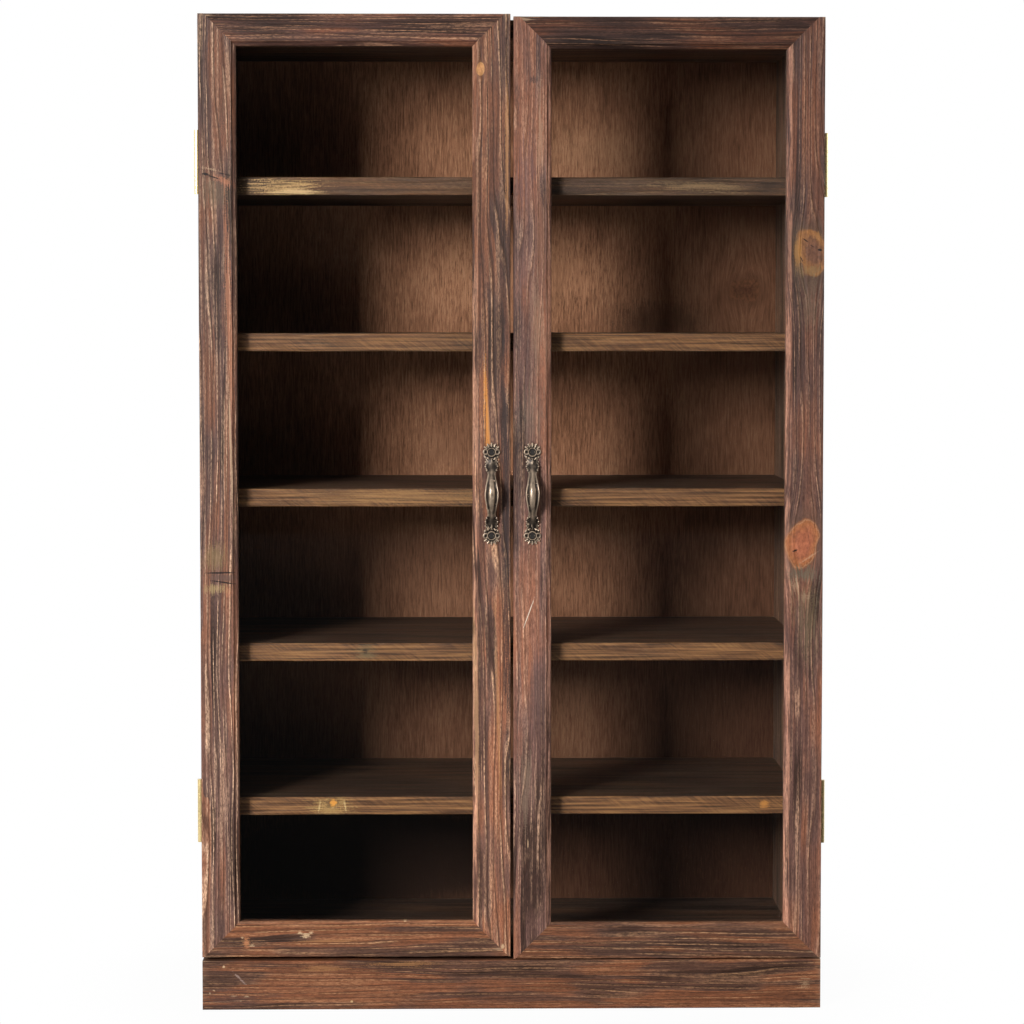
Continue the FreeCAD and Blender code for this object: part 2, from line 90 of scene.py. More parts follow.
# %% Finish: a material that is being built
class Finish:
    def __init__(self, name):
        self.material = bpy.data.materials.new(name)
        self.material.use_nodes = True
        self.tree = self.material.node_tree
        self.shader = self.tree.nodes["Principled BSDF"]
        self.place = self.node("ShaderNodeTexCoord").outputs["Object"]

    def node(self, kind, inputs=None, **settings):
        made = self.tree.nodes.new(kind)
        for key, value in settings.items():
            setattr(made, key, value)
        for key, value in (inputs or {}).items():
            if isinstance(value, bpy.types.NodeSocket):
                self.tree.links.new(value, made.inputs[key])
            else:
                made.inputs[key].default_value = value
        return made

    def math(self, operation, *values):
        return self.node("ShaderNodeMath", dict(enumerate(values)), operation=operation).outputs[0]

    def times(self, first, second):
        return self.math("MULTIPLY", first, second)

    def times_plus(self, first, factor, rest):
        return self.math("MULTIPLY_ADD", first, factor, rest)

    def minus(self, first, second):
        return self.math("SUBTRACT", first, second)

    def larger(self, first, second):
        return self.math("MAXIMUM", first, second)

    def smooth(self, value, start, end):
        """0 below start, 1 above end and a soft slope between; start may be the larger."""
        ends = {"Value": value, "From Min": start, "From Max": end}
        return self.node("ShaderNodeMapRange", ends, interpolation_type="SMOOTHSTEP").outputs[0]

    def axes(self, vector):
        return self.node("ShaderNodeSeparateXYZ", {0: vector}).outputs

    def vector(self, *values):
        return self.node("ShaderNodeCombineXYZ", dict(enumerate(values))).outputs[0]

    def scaled(self, vector, scale, offset=(0, 0, 0)):
        inputs = {0: vector, 1: scale, 2: offset}
        return self.node("ShaderNodeVectorMath", inputs, operation="MULTIPLY_ADD").outputs[0]

    def noise(self, vector, detail=2.0, roughness=0.5):
        inputs = {"Vector": vector, "Scale": 1.0, "Detail": detail, "Roughness": roughness}
        return self.node("ShaderNodeTexNoise", inputs).outputs["Fac"]

    def cloud(self, vector, scale, detail, roughness, offset=(0, 0, 0)):
        """Noise whose lumps are 1 / scale long."""
        return self.noise(self.scaled(vector, scale, offset), detail, roughness)

    def millimetres(self):
        return self.scaled(self.place, (1000, 1000, 1000))

    def ramp(self, value, stops):
        """Colour by value; stops are (position, colour) pairs."""
        made = self.node("ShaderNodeValToRGB", {"Fac": value})
        elements = made.color_ramp.elements
        while len(elements) < len(stops):
            elements.new(0.5)
        for element, (position, colour) in zip(elements, stops):
            element.position = position
            element.color = (*colour, 1)
        return made.outputs["Color"]

    def mix(self, factor, first, second, blend="MIX"):
        inputs = {0: factor}
        for index, value in ((6, first), (7, second)):
            inputs[index] = (*value, 1) if isinstance(value, tuple) else value
        made = self.node("ShaderNodeMix", inputs, data_type="RGBA", blend_type=blend)
        return made.outputs[2]

    def dimmed(self, colour, factor):
        """Colour times a number."""
        grey = self.vector(factor, factor, factor)
        return self.mix(1.0, colour, grey, "MULTIPLY")

    def relief(self, height, distance, strength=1.0):
        inputs = {"Height": height, "Distance": distance, "Strength": strength}
        self.shade("Normal", self.node("ShaderNodeBump", inputs).outputs[0])

    def shade(self, name, value):
        if isinstance(value, bpy.types.NodeSocket):
            self.tree.links.new(value, self.shader.inputs[name])
        else:
            self.shader.inputs[name].default_value = value


print("finishes are ready to be built")

# %% [markdown]
# ## Floor, background and light
# The cabinet stands on a white studio floor that runs into a white background. Both are white only for the
# camera, through glass and, behind the cabinet, in reflections: for everything else they are an ordinary
# pale floor and a dim room, so they do not light the cabinet. Straight in front the room is dark, or the
# panes would mirror it as a grey veil. Near the cabinet the floor keeps its shadow.


# %% Which rays see the white background
def is_mirrored(finish):
    """1 for a ray that any mirror or pane has thrown back."""
    return finish.math("GREATER_THAN", finish.node("ShaderNodeLightPath").outputs["Glossy Depth"], 0.5)


def white_share(finish, depth):
    """1 for a ray that shows the background to the eye and 0 for light; depth is a coordinate along +Y."""
    path = finish.node("ShaderNodeLightPath").outputs
    mirrored = is_mirrored(finish)
    behind = finish.times(path["Is Glossy Ray"], finish.smooth(depth, -0.1, 0.3))
    straight = finish.minus(path["Is Transmission Ray"], mirrored)
    by_glass = finish.larger(finish.times(mirrored, behind), straight)
    no_bounce = finish.math("LESS_THAN", path["Diffuse Depth"], 0.5)
    return finish.larger(path["Is Camera Ray"], finish.times(by_glass, no_bounce))


def seen_as(finish, share, plain, shown, output):
    """Show one shader instead of the plain one for a share of the rays."""
    mixed = finish.node("ShaderNodeMixShader", {0: share, 1: plain, 2: shown})
    finish.tree.links.new(mixed.outputs[0], finish.tree.nodes[output].inputs["Surface"])


# %% Floor
FLOOR_SIZE = 14.0
FLOOR_COLOUR = (0.8, 0.8, 0.79, 1)
SHADOW_REACH = (0.28, 0.50)   # metres from the middle over which the shadow fades out
SHADOW_SHARE = 0.03

select_none()
bpy.ops.mesh.primitive_plane_add(size=FLOOR_SIZE)
floor = bpy.context.object
floor.name = "studio_floor"
finish = Finish("studio_floor_white")
finish.shade("Base Color", FLOOR_COLOUR)
finish.shade("Roughness", 0.9)
finish.shade("Specular IOR Level", 0.0)
dark = finish.node("ShaderNodeEmission", {"Color": (0.03, 0.03, 0.03, 1)}).outputs[0]
mirror = finish.node("ShaderNodeMixShader", {0: is_mirrored(finish), 1: finish.shader.outputs[0], 2: dark})
x, y, _ = finish.axes(finish.place)
radius = finish.math("SQRT", finish.math("ADD", finish.math("POWER", x, 2.0), finish.math("POWER", y, 2.0)))
fade = finish.smooth(radius, *SHADOW_REACH)
bright = finish.times_plus(fade, SHADOW_SHARE, 1.0 - SHADOW_SHARE)
white = finish.node("ShaderNodeEmission", {"Color": (1, 1, 1, 1)}).outputs[0]
share = finish.times(bright, white_share(finish, y))
seen_as(finish, share, mirror.outputs[0], white, "Material Output")
floor.data.materials.append(finish.material)
print("floor", FLOOR_SIZE, "m wide")

# %% World
AMBIENT = 0.075
ROOM_IN_FRONT = 0.008         # what the closed panes mirror
ROOM_AROUND = 0.55            # what curved metal mirrors

world = bpy.data.worlds.new("studio")
bpy.context.scene.world = world
world.use_nodes = True


class WorldFinish(Finish):
    def __init__(self, made):
        self.tree = made.node_tree
        self.shader = self.tree.nodes["Background"]


finish = WorldFinish(world)
finish.shade("Color", (1.0, 0.98, 0.96, 1))
heading = finish.axes(finish.node("ShaderNodeTexCoord").outputs["Generated"])
room = finish.times_plus(finish.smooth(heading["Y"], -0.95, -0.8), ROOM_AROUND, ROOM_IN_FRONT)
change = finish.minus(room, AMBIENT)
finish.shade("Strength", finish.times_plus(is_mirrored(finish), change, AMBIENT))
white = finish.node("ShaderNodeBackground", {"Color": (1, 1, 1, 1)}).outputs[0]
seen_as(finish, white_share(finish, heading["Y"]), finish.shader.outputs[0], white, "World Output")
print("ambient light", AMBIENT)

# %% [markdown]
# The shadows in the compartments show one large soft lamp, four metres away to the left and a little higher
# than the cabinet: the left ends lie in shadow, the meeting stiles throw theirs on the right half, and the
# lower the compartment, the deeper the shadow that its shelf casts on the back. A weak second lamp stands
# behind the cabinet on the right. It reaches neither the doors nor the compartments, and keeps the far
# side, the back and the right-hand hinges from going black.

# %% Key lamp and back lamp
KEY_PLACE = Vector((-2.1, -3.6, 1.42))
KEY_AIM = Vector((0.0, -0.1, 0.55))
KEY_SIZE = 0.97
KEY_POWER = 207.0
BACK_PLACE = Vector((2.6, 1.5, 1.7))
BACK_SIZE = 1.6
BACK_POWER = 55.0


def add_lamp(name, place, aim, size, power):
    select_none()
    bpy.ops.object.light_add(type="AREA", location=place)
    lamp = bpy.context.object
    lamp.name = name
    lamp.data.shape = "SQUARE"
    lamp.data.size = size
    lamp.data.energy = power
    lamp.rotation_euler = (aim - place).to_track_quat("-Z", "Y").to_euler()
    print(name, power, "W")


add_lamp("key_lamp", KEY_PLACE, KEY_AIM, KEY_SIZE, KEY_POWER)
add_lamp("back_lamp", BACK_PLACE, KEY_AIM, BACK_SIZE, BACK_POWER)


# %% [markdown]
# ## Boards that a brush has worked
# Every board of the cabinet is sawn softwood that was scrubbed with a wire brush: the soft layers of the
# growth rings are hollowed and the hard ones stand up as long ridges. A plain block with a painted grain
# looks flat where the light grazes it, so each board is modelled as a fine grid, pushed out to its
# thickness, cut to its joints and then displaced. One board is made lying ready: x across, z along, its
# face towards -Y.


# %% Small tools for edit mode
TINY = 1e-5


def alone(piece):
    """Select nothing but this piece and make it active."""
    select_none()
    piece.select_set(True)
    bpy.context.view_layer.objects.active = piece


def edit_all():
    bpy.ops.object.mode_set(mode="EDIT")
    bpy.ops.mesh.select_all(action="SELECT")


def leave_edit():
    bpy.ops.object.mode_set(mode="OBJECT")


def choose(piece, kind, test):
    """Select faces by centre and normal, or edges by their two ends, and stay in edit mode."""
    bpy.ops.object.mode_set(mode="EDIT")
    bpy.ops.mesh.select_mode(type=kind)
    bpy.ops.mesh.select_all(action="DESELECT")
    leave_edit()
    points = piece.data.vertices
    if kind == "FACE":
        for face in piece.data.polygons:
            face.select = test(face.center, face.normal)
    else:
        for edge in piece.data.edges:
            edge.select = test(*(points[index].co for index in edge.vertices))
    bpy.ops.object.mode_set(mode="EDIT")


def saw(piece, point, normal, **settings):
    """Cut the whole piece along a plane."""
    edit_all()
    bpy.ops.mesh.bisect(plane_co=point, plane_no=normal, **settings)
    leave_edit()


def push_out(amount):
    bpy.ops.mesh.extrude_region_move(TRANSFORM_OT_translate={"value": (0, amount, 0)})
    leave_edit()


# %% A board as a stepped block with a fine grid
def make_board(name, wide, long, cell, layers, step=None, lines=()):
    """layers: depth of the whole board, then of the part that step chooses; lines: extra cuts."""
    select_none()
    bpy.ops.mesh.primitive_grid_add(
        x_subdivisions=round(wide / cell[0]), y_subdivisions=round(long / cell[1]), size=1,
        location=(wide / 2, 0, long / 2), rotation=(radians(90), 0, 0),
    )
    board = bpy.context.object
    board.name = name
    board.scale = (wide, long, 1)
    bpy.ops.object.transform_apply()
    for axis, place in lines:
        normal = Vector((axis == "x", 0, axis == "z"))
        saw(board, normal * place, normal)
    edit_all()
    push_out(layers[0])
    if step:
        choose(board, "FACE", lambda middle, normal: middle.y > layers[0] - TINY and step(middle))
        push_out(layers[1])
    edit_all()
    bpy.ops.mesh.normals_make_consistent(inside=False)
    leave_edit()
    return board


def soften(board, amount, test):
    """Round the chosen arrises a little, as sanding and years of use do."""
    choose(board, "EDGE", test)
    bpy.ops.mesh.bevel(offset=amount, offset_type="OFFSET", segments=2, profile=0.5)
    leave_edit()


def stand(board, across, into, along, place):
    """Turn a board so that its own x, y and z point along the given directions, and put it in its place."""
    turn = Matrix((across, into, along)).transposed()
    board.matrix_world = Matrix.Translation(place) @ turn.to_4x4()
    alone(board)
    bpy.ops.object.transform_apply()


# %% [markdown]
# The brushed relief is a Displace modifier. Its cloud texture is read through an Empty that is stretched
# along the grain, so round clouds become long ridges. A vertex group keeps the joints flat. How far each
# point moved is kept as an attribute called ridge: the stain reads it later, so that the ridges that stand
# up are the ones that are rubbed pale.


# %% Brushed relief
SMOOTH_ANGLE = radians(38)
NICK_CLOUD = (0.011, 0.011, 0.011)


def displace(board, texture, strength, guide, group):
    push = board.modifiers.new("relief", "DISPLACE")
    push.texture = texture
    push.texture_coords = "OBJECT"
    push.texture_coords_object = guide
    push.strength = strength
    push.mid_level = 0.5
    push.vertex_group = group
    alone(board)
    bpy.ops.object.modifier_apply(modifier=push.name)


def cloud_texture(name, depth):
    texture = bpy.data.textures.new(name, "CLOUDS")
    texture.noise_scale = 1.0
    texture.noise_depth = depth
    return texture


def brush(board, grain_scale, seed, faces, depth=0.45 * MM, nick=0.9 * MM):
    """Ridges on the chosen faces and nicks along their arrises; grain_scale: size of a cloud in metres."""
    points = board.data.vertices
    whole = board.vertex_groups.new(name="brushed")
    arris = board.vertex_groups.new(name="arris")
    for point in points:
        if faces(point.normal):
            whole.add([point.index], 1.0, "REPLACE")
            if max(abs(value) for value in point.normal) < 0.93:
                arris.add([point.index], 1.0, "REPLACE")
    before = [(point.co.copy(), point.normal.copy()) for point in points]
    select_none()
    bpy.ops.object.empty_add(location=(seed * 0.37, seed * 0.53, seed * 0.71))
    guide = bpy.context.object
    guide.scale = grain_scale
    displace(board, cloud_texture("ridges", 2), depth, guide, "brushed")
    ridge = board.data.attributes.new("ridge", "FLOAT", "POINT")
    for point, (place, normal) in zip(points, before):
        ridge.data[point.index].value = 0.5 + (point.co - place).dot(normal) / depth
    guide.scale = NICK_CLOUD
    displace(board, cloud_texture("nicks", 1), nick, guide, "arris")
    bpy.data.objects.remove(guide)
    board.vertex_groups.clear()
    alone(board)
    bpy.ops.object.shade_smooth_by_angle(angle=SMOOTH_ANGLE)
    print(board.name, len(board.data.polygons), "faces")


# %% [markdown]
# ## Stained fir
# The stain sinks into the brushed hollows and turns them nearly black, and rubbing leaves the ridges a worn
# tan. Between the two lie purple and red browns that change slowly along the board. All of it is worked out
# in millimetres from Object coordinates, so the pattern keeps its real scale.

# %% Colours of the wood, linear
NEAR_BLACK = (0.010, 0.006, 0.005)
DEEP_BROWN = (0.030, 0.015, 0.010)
PURPLE_BROWN = (0.105, 0.058, 0.045)
RED_BROWN = (0.19, 0.082, 0.044)
WORN_TAN = (0.52, 0.345, 0.215)
GOLDEN = (0.40, 0.185, 0.070)
SALMON = (0.40, 0.16, 0.085)
OLIVE = (0.17, 0.125, 0.065)
CHIPPED = (0.60, 0.40, 0.23)
# Pale of the planed chamfers, also used as their painted highlight
PLANED_LIT_TAN = (0.44, 0.25, 0.165)
print("stain colours from", NEAR_BLACK, "to", WORN_TAN)

# %% Grain directions: across, along and into the board, in millimetres
GRAIN = {"Z": "XZY", "X": "ZXY", "side": "YZX", "flat": "YXZ"}


def grain_axes(finish, grain):
    axes = finish.axes(finish.millimetres())
    return [axes[letter] for letter in GRAIN[grain]]


# %% [markdown]
# A knot is a branch cut across. Seen from the front it is an oval blob, warmer than the board and redder in
# its heart, and the grain of the trunk flows round it. Pulling the coordinates towards the knot's middle
# line bends the streaks about it.


# %% Knots
# A knot by its middle and size in millimetres, across and along the grain
Knot = namedtuple("Knot", "across along wide tall colour heart halo rim share", defaults=[1.0])


def oval(finish, dx, dy, wide, tall):
    """The squared ways across and along an oval, in half sizes, and the distance from its middle."""
    across = finish.math("POWER", finish.math("DIVIDE", dx, wide / 2), 2.0)
    along = finish.math("POWER", finish.math("DIVIDE", dy, tall / 2), 2.0)
    return across, along, finish.math("SQRT", finish.math("ADD", across, along))


class KnotField:
    """How far each point lies from one knot: 0 in its middle, 1 at its edge."""

    def __init__(self, finish, across, along, knot):
        self.knot = knot
        dx = finish.minus(across, knot.across)
        dy = finish.minus(along, knot.along)
        wide, tall, self.distance = oval(finish, dx, dy, knot.wide, knot.tall)
        stretched = finish.times_plus(tall, 0.25, wide)
        self.pull = finish.times(dx, finish.math("POWER", 0.45, stretched))
        self.near = finish.smooth(self.distance, 1.9, 1.0)

    def paint(self, finish, across, along):
        knot = self.knot
        spot = finish.vector(across, along, knot.across)
        wave = finish.cloud(spot, (0.045, 0.035, 1), 1.0, 0.5)
        cloud = finish.cloud(spot, (0.35, 0.2, 1), 3.0, 0.65)
        ragged = finish.times_plus(finish.minus(wave, 0.5), 1.2, self.distance)
        ragged = finish.times_plus(finish.minus(cloud, 0.5), 0.25, ragged)
        tone = finish.mix(finish.smooth(ragged, 0.95, 0.2), knot.colour, knot.heart)
        tone = finish.dimmed(tone, finish.times_plus(cloud, 1.8, 0.1))
        rim = finish.smooth(finish.math("ABSOLUTE", finish.minus(ragged, 0.93)), 0.05, 0.01)
        tone = finish.mix(finish.times(rim, knot.rim), tone, WORN_TAN)
        halo = finish.times(finish.smooth(ragged, 1.9, 1.0), 0.5)
        finish.colour = finish.mix(halo, finish.colour, knot.halo)
        inside = finish.times(finish.smooth(ragged, 1.08, 0.9), knot.share)
        finish.colour = finish.mix(inside, finish.colour, tone)


# %% [markdown]
# Marks come last: a scuff, a crack, a chip of bare wood or a streak of resin is a soft oval at its own
# place, broken up by noise so that its outline is ragged.


# %% Marks
# A small stain, chip or crack by its middle and size in millimetres, turned by some degrees
Mark = namedtuple("Mark", "across along wide tall colour share grit turn", defaults=[0.8, 0.5, 0.0])


def crack(across, along, long, thick=1.6, turn=0.0):
    """A dark split, mostly across the grain."""
    return Mark(across, along, long, thick, NEAR_BLACK, 0.95, 0.3, turn)


def paint_mark(finish, across, along, mark):
    dx = finish.minus(across, mark.across)
    dy = finish.minus(along, mark.along)
    lean, rise = cos(radians(mark.turn)), sin(radians(mark.turn))
    wide = finish.times_plus(dx, lean, finish.times(dy, rise))
    tall = finish.times_plus(dy, lean, finish.times(dx, -rise))
    far = oval(finish, wide, tall, mark.wide, mark.tall)[2]
    speck = finish.noise(finish.scaled(finish.vector(across, along, mark.across), (0.7, 0.7, 1)), 3.0, 0.7)
    rough = finish.times_plus(finish.minus(finish.fibre, 0.5), 2.0, speck)
    edge = finish.times_plus(finish.minus(rough, 0.5), 3.0 * mark.grit, far)
    share = finish.times(finish.smooth(edge, 1.0, 0.55), mark.share)
    finish.colour = finish.mix(share, finish.colour, mark.colour)


# %% [markdown]
# Growth rings give fir its drawing. Each ring is a band with its own tone, and its hard edge stands up as a
# pale line with a dark hollow beside it. The number of a ring is the whole part of its coordinate across
# the board, which a slow noise lets wander along the grain; the remainder says where in the ring a point
# lies.


# %% Growth rings
def growth_rings(finish, block, ring, lean, seed, offset):
    """The tone of each ring, its pale hard line and the dark hollow next to it."""
    across, along, deep = finish.axes(block)
    wander = finish.cloud(block, (0.035, 0.0028, 0.035), 2.0, 0.5, offset)
    place = finish.times_plus(along, lean, finish.times_plus(deep, 0.6, across))
    place = finish.times_plus(place, 1 / ring, finish.times(wander, 5.0))
    number = finish.math("FLOOR", place)
    part = finish.math("FRACT", place)
    spot = finish.scaled(finish.vector(number, along, seed), (5.7, 0.005, 3.1), offset)
    tone = finish.noise(spot, 2.0, 0.6)
    shown = finish.smooth(finish.cloud(spot, (1.6, 2.2, 1.3), 2.0, 0.6), 0.42, 0.56)
    pale = finish.smooth(finish.math("ABSOLUTE", finish.minus(part, 0.5)), 0.14, 0.05)
    dark = finish.smooth(finish.math("ABSOLUTE", finish.minus(part, 0.68)), 0.14, 0.04)
    return tone, finish.times(pale, shown), dark


# %% Stained wood
FOOT_LIGHT = (850, 150)       # heights in millimetres between which a stile grows paler


def wood_finish(
    name, grain, seed, tan=0.8, red=0.5, light=1.0, tint=(1, 1, 1), spread=1.0, hollows=0.7,
    ring=6.5, lean=0.0, planed_and_lit=0.0, foot=0.0, knots=(), marks=(), ridged=True,
):
    finish = Finish(name)
    across, along, deep = grain_axes(finish, grain)
    fields = [KnotField(finish, across, along, each) for each in knots]
    bent = across
    calm = 1.0
    for field in fields:
        bent = finish.minus(bent, field.pull)
        calm = finish.minus(calm, field.near)
    offset = (seed * 17.3, seed * 31.7, seed * 7.9)
    block = finish.vector(bent, along, deep)
    fibre = finish.cloud(block, (1.1, 0.03, 1.1), 3.0, 0.65, offset)
    fine = finish.cloud(block, (0.9, 0.006, 0.9), 2.0, 0.65, offset[::-1])
    fleck = finish.cloud(block, (1.0, 0.2, 1.0), 3.0, 0.75, offset)
    patch = finish.cloud(block, (0.03, 0.007, 0.03), 2.0, 0.55, offset)
    length = finish.cloud(block, (0.3, 0.014, 0.3), 3.0, 0.65, offset)
    band, pale, dark = growth_rings(finish, block, ring, lean, seed, offset)
    tone = finish.times_plus(band, 0.9, finish.times_plus(patch, 0.7, -0.3))
    tone = finish.times_plus(tone, spread, 0.5 * (1 - spread))
    stops = [(0.34, DEEP_BROWN), (0.47, PURPLE_BROWN), (0.62 + 0.2 * (0.5 - red), RED_BROWN)]
    colour = finish.ramp(tone, stops)
    ridge = band
    if ridged:
        ridge = finish.node("ShaderNodeAttribute", attribute_name="ridge").outputs["Fac"]
    rubbed = finish.times(finish.smooth(ridge, 0.53, 0.63), finish.smooth(length, 0.36, 0.6))
    line = finish.times(finish.smooth(fine, 0.55, 0.63), finish.smooth(length, 0.4, 0.6))
    rubbed = finish.times(finish.larger(rubbed, line), 0.55)
    rubbed = finish.times(finish.larger(rubbed, pale), calm)
    grit = finish.times_plus(finish.smooth(fleck, 0.36, 0.6), 0.9, 0.25)
    rubbed = finish.times(rubbed, grit)
    colour = finish.mix(finish.times(rubbed, tan), colour, WORN_TAN)
    hollow = finish.larger(finish.smooth(ridge, 0.46, 0.36), finish.smooth(fine, 0.45, 0.38))
    hollow = finish.larger(finish.times(hollow, 0.7), dark)
    colour = finish.mix(finish.times(hollow, hollows), colour, DEEP_BROWN)
    # The sight chamfers are pale planed wood with a painted highlight: the share is set per member, larger
    # where the chamfer faces the key lamp and nothing where it faces down
    chamfer = finish.node("ShaderNodeAttribute", attribute_name="chamfer").outputs["Fac"]
    chamfer = finish.times(chamfer, finish.smooth(length, 0.42, 0.6))
    colour = finish.mix(finish.times(chamfer, planed_and_lit), colour, PLANED_LIT_TAN)
    colour = finish.mix(1.0, colour, tint, "MULTIPLY")
    shade = finish.times_plus(fleck, 2.0 * light, -0.5 * light)
    shade = finish.times_plus(fibre, 1.0 * light, shade)
    if foot:
        rise = finish.times_plus(finish.smooth(along, *FOOT_LIGHT), foot, 1.0)
        shade = finish.times(shade, rise)
    finish.colour = finish.dimmed(colour, shade)
    finish.height = finish.times_plus(fibre, 0.6, finish.times_plus(fine, 0.8, fleck))
    finish.height = finish.times_plus(finish.minus(pale, dark), 0.5, finish.height)
    finish.fibre = fibre
    finish.length = length
    for field in fields:
        field.paint(finish, across, along)
    for each in marks:
        paint_mark(finish, across, along, each)
    return finish


def wear_edges(finish, share=0.5):
    """Rub the arrises pale, unevenly."""
    sharp = finish.node("ShaderNodeNewGeometry").outputs["Pointiness"]
    worn = finish.times(finish.smooth(sharp, 0.53, 0.62), finish.smooth(finish.length, 0.4, 0.6))
    finish.colour = finish.mix(finish.times(worn, share), finish.colour, WORN_TAN)


def finished(finish, depth=0.5 * MM, gloss=0.5, sheen=0.2):
    """Give the colour, the sheen and the relief to the shader."""
    finish.shade("Base Color", finish.colour)
    finish.shade("Roughness", finish.times_plus(finish.fibre, 0.35, gloss - 0.15))
    finish.shade("Specular IOR Level", sheen)
    finish.relief(finish.height, depth, 0.8)
    return finish.material


def stained(name, grain, seed, **settings):
    finish = wood_finish(name, grain, seed, **settings)
    wear_edges(finish)
    return finished(finish)


print("stain is ready")

# %% [markdown]
# ## Door frames
# Each door is four pieces mitred at the corners. The section has a chamfer along the sight edge and,
# behind, a rebate for the pane. All eight members come from one function: they differ only in width and
# length and in where their mitres start, and the rails are stiles that lie down.

# %% Sizes of the door frames
SIGHT_CHAMFER = 5 * MM
REBATE_WIDE = 8 * MM
MITRE_GAP = 0.04 * MM         # a mitre is never quite tight
ARRIS = 0.9 * MM
FINE_CELL = (1 * MM, 9 * MM)
FACE_CUTS = (2 * MM, 5 * MM, 8 * MM)

door_low, door_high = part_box("left_hinge_stile")
door_thick = door_high.y - door_low.y
lip_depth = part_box("left_glass")[0].y - door_low.y
print("door", round(door_thick / MM, 1), "mm thick, lip", round(lip_depth / MM, 1), "mm")


# %% One member
def member(name, wide, long, corner_low, corner_high):
    seat = wide - REBATE_WIDE
    layers = (lip_depth, door_thick - lip_depth)
    board = make_board(name, wide, long, FINE_CELL, layers, lambda middle: middle.x < seat)
    for depth in FACE_CUTS:
        saw(board, (0, depth, 0), (0, 1, 0))
    saw(board, (wide - SIGHT_CHAMFER, 0, 0), (1, -1, 0), clear_outer=True)
    chamfer_edges = ((wide - SIGHT_CHAMFER, 0), (wide, SIGHT_CHAMFER))

    def on_chamfer(first, second):
        same = any(
            all(abs(end.x - x) < TINY and abs(end.y - y) < TINY for end in (first, second))
            for x, y in chamfer_edges
        )
        return same and abs(first.z - second.z) > TINY

    choose(board, "EDGE", on_chamfer)
    bpy.ops.mesh.bridge_edge_loops(number_cuts=5)
    leave_edit()
    soften(board, ARRIS, lambda first, second: max(first.x, second.x) < TINY and (
        max(first.y, second.y) < TINY or min(first.y, second.y) > door_thick - TINY
    ))
    shift = MITRE_GAP * 2 ** 0.5
    saw(board, (wide, 0, corner_low + shift), (1, 0, -1), use_fill=True, clear_outer=True)
    saw(board, (wide, 0, corner_high - shift), (1, 0, 1), use_fill=True, clear_outer=True)
    edit_all()
    bpy.ops.mesh.remove_doubles(threshold=TINY)
    bpy.ops.mesh.normals_make_consistent(inside=False)
    leave_edit()
    chamfer = board.data.attributes.new("chamfer", "FLOAT", "POINT")
    for point in board.data.vertices:
        chamfered = point.co.x > wide - SIGHT_CHAMFER - TINY and point.co.y < SIGHT_CHAMFER + TINY
        chamfer.data[point.index].value = chamfered
    return board


def is_member_face(normal):
    """The face and the outer edge of a member, not its mitres, its rebate or its back."""
    return (normal.y < -0.3 or normal.x < -0.3) and abs(normal.z) < 0.3


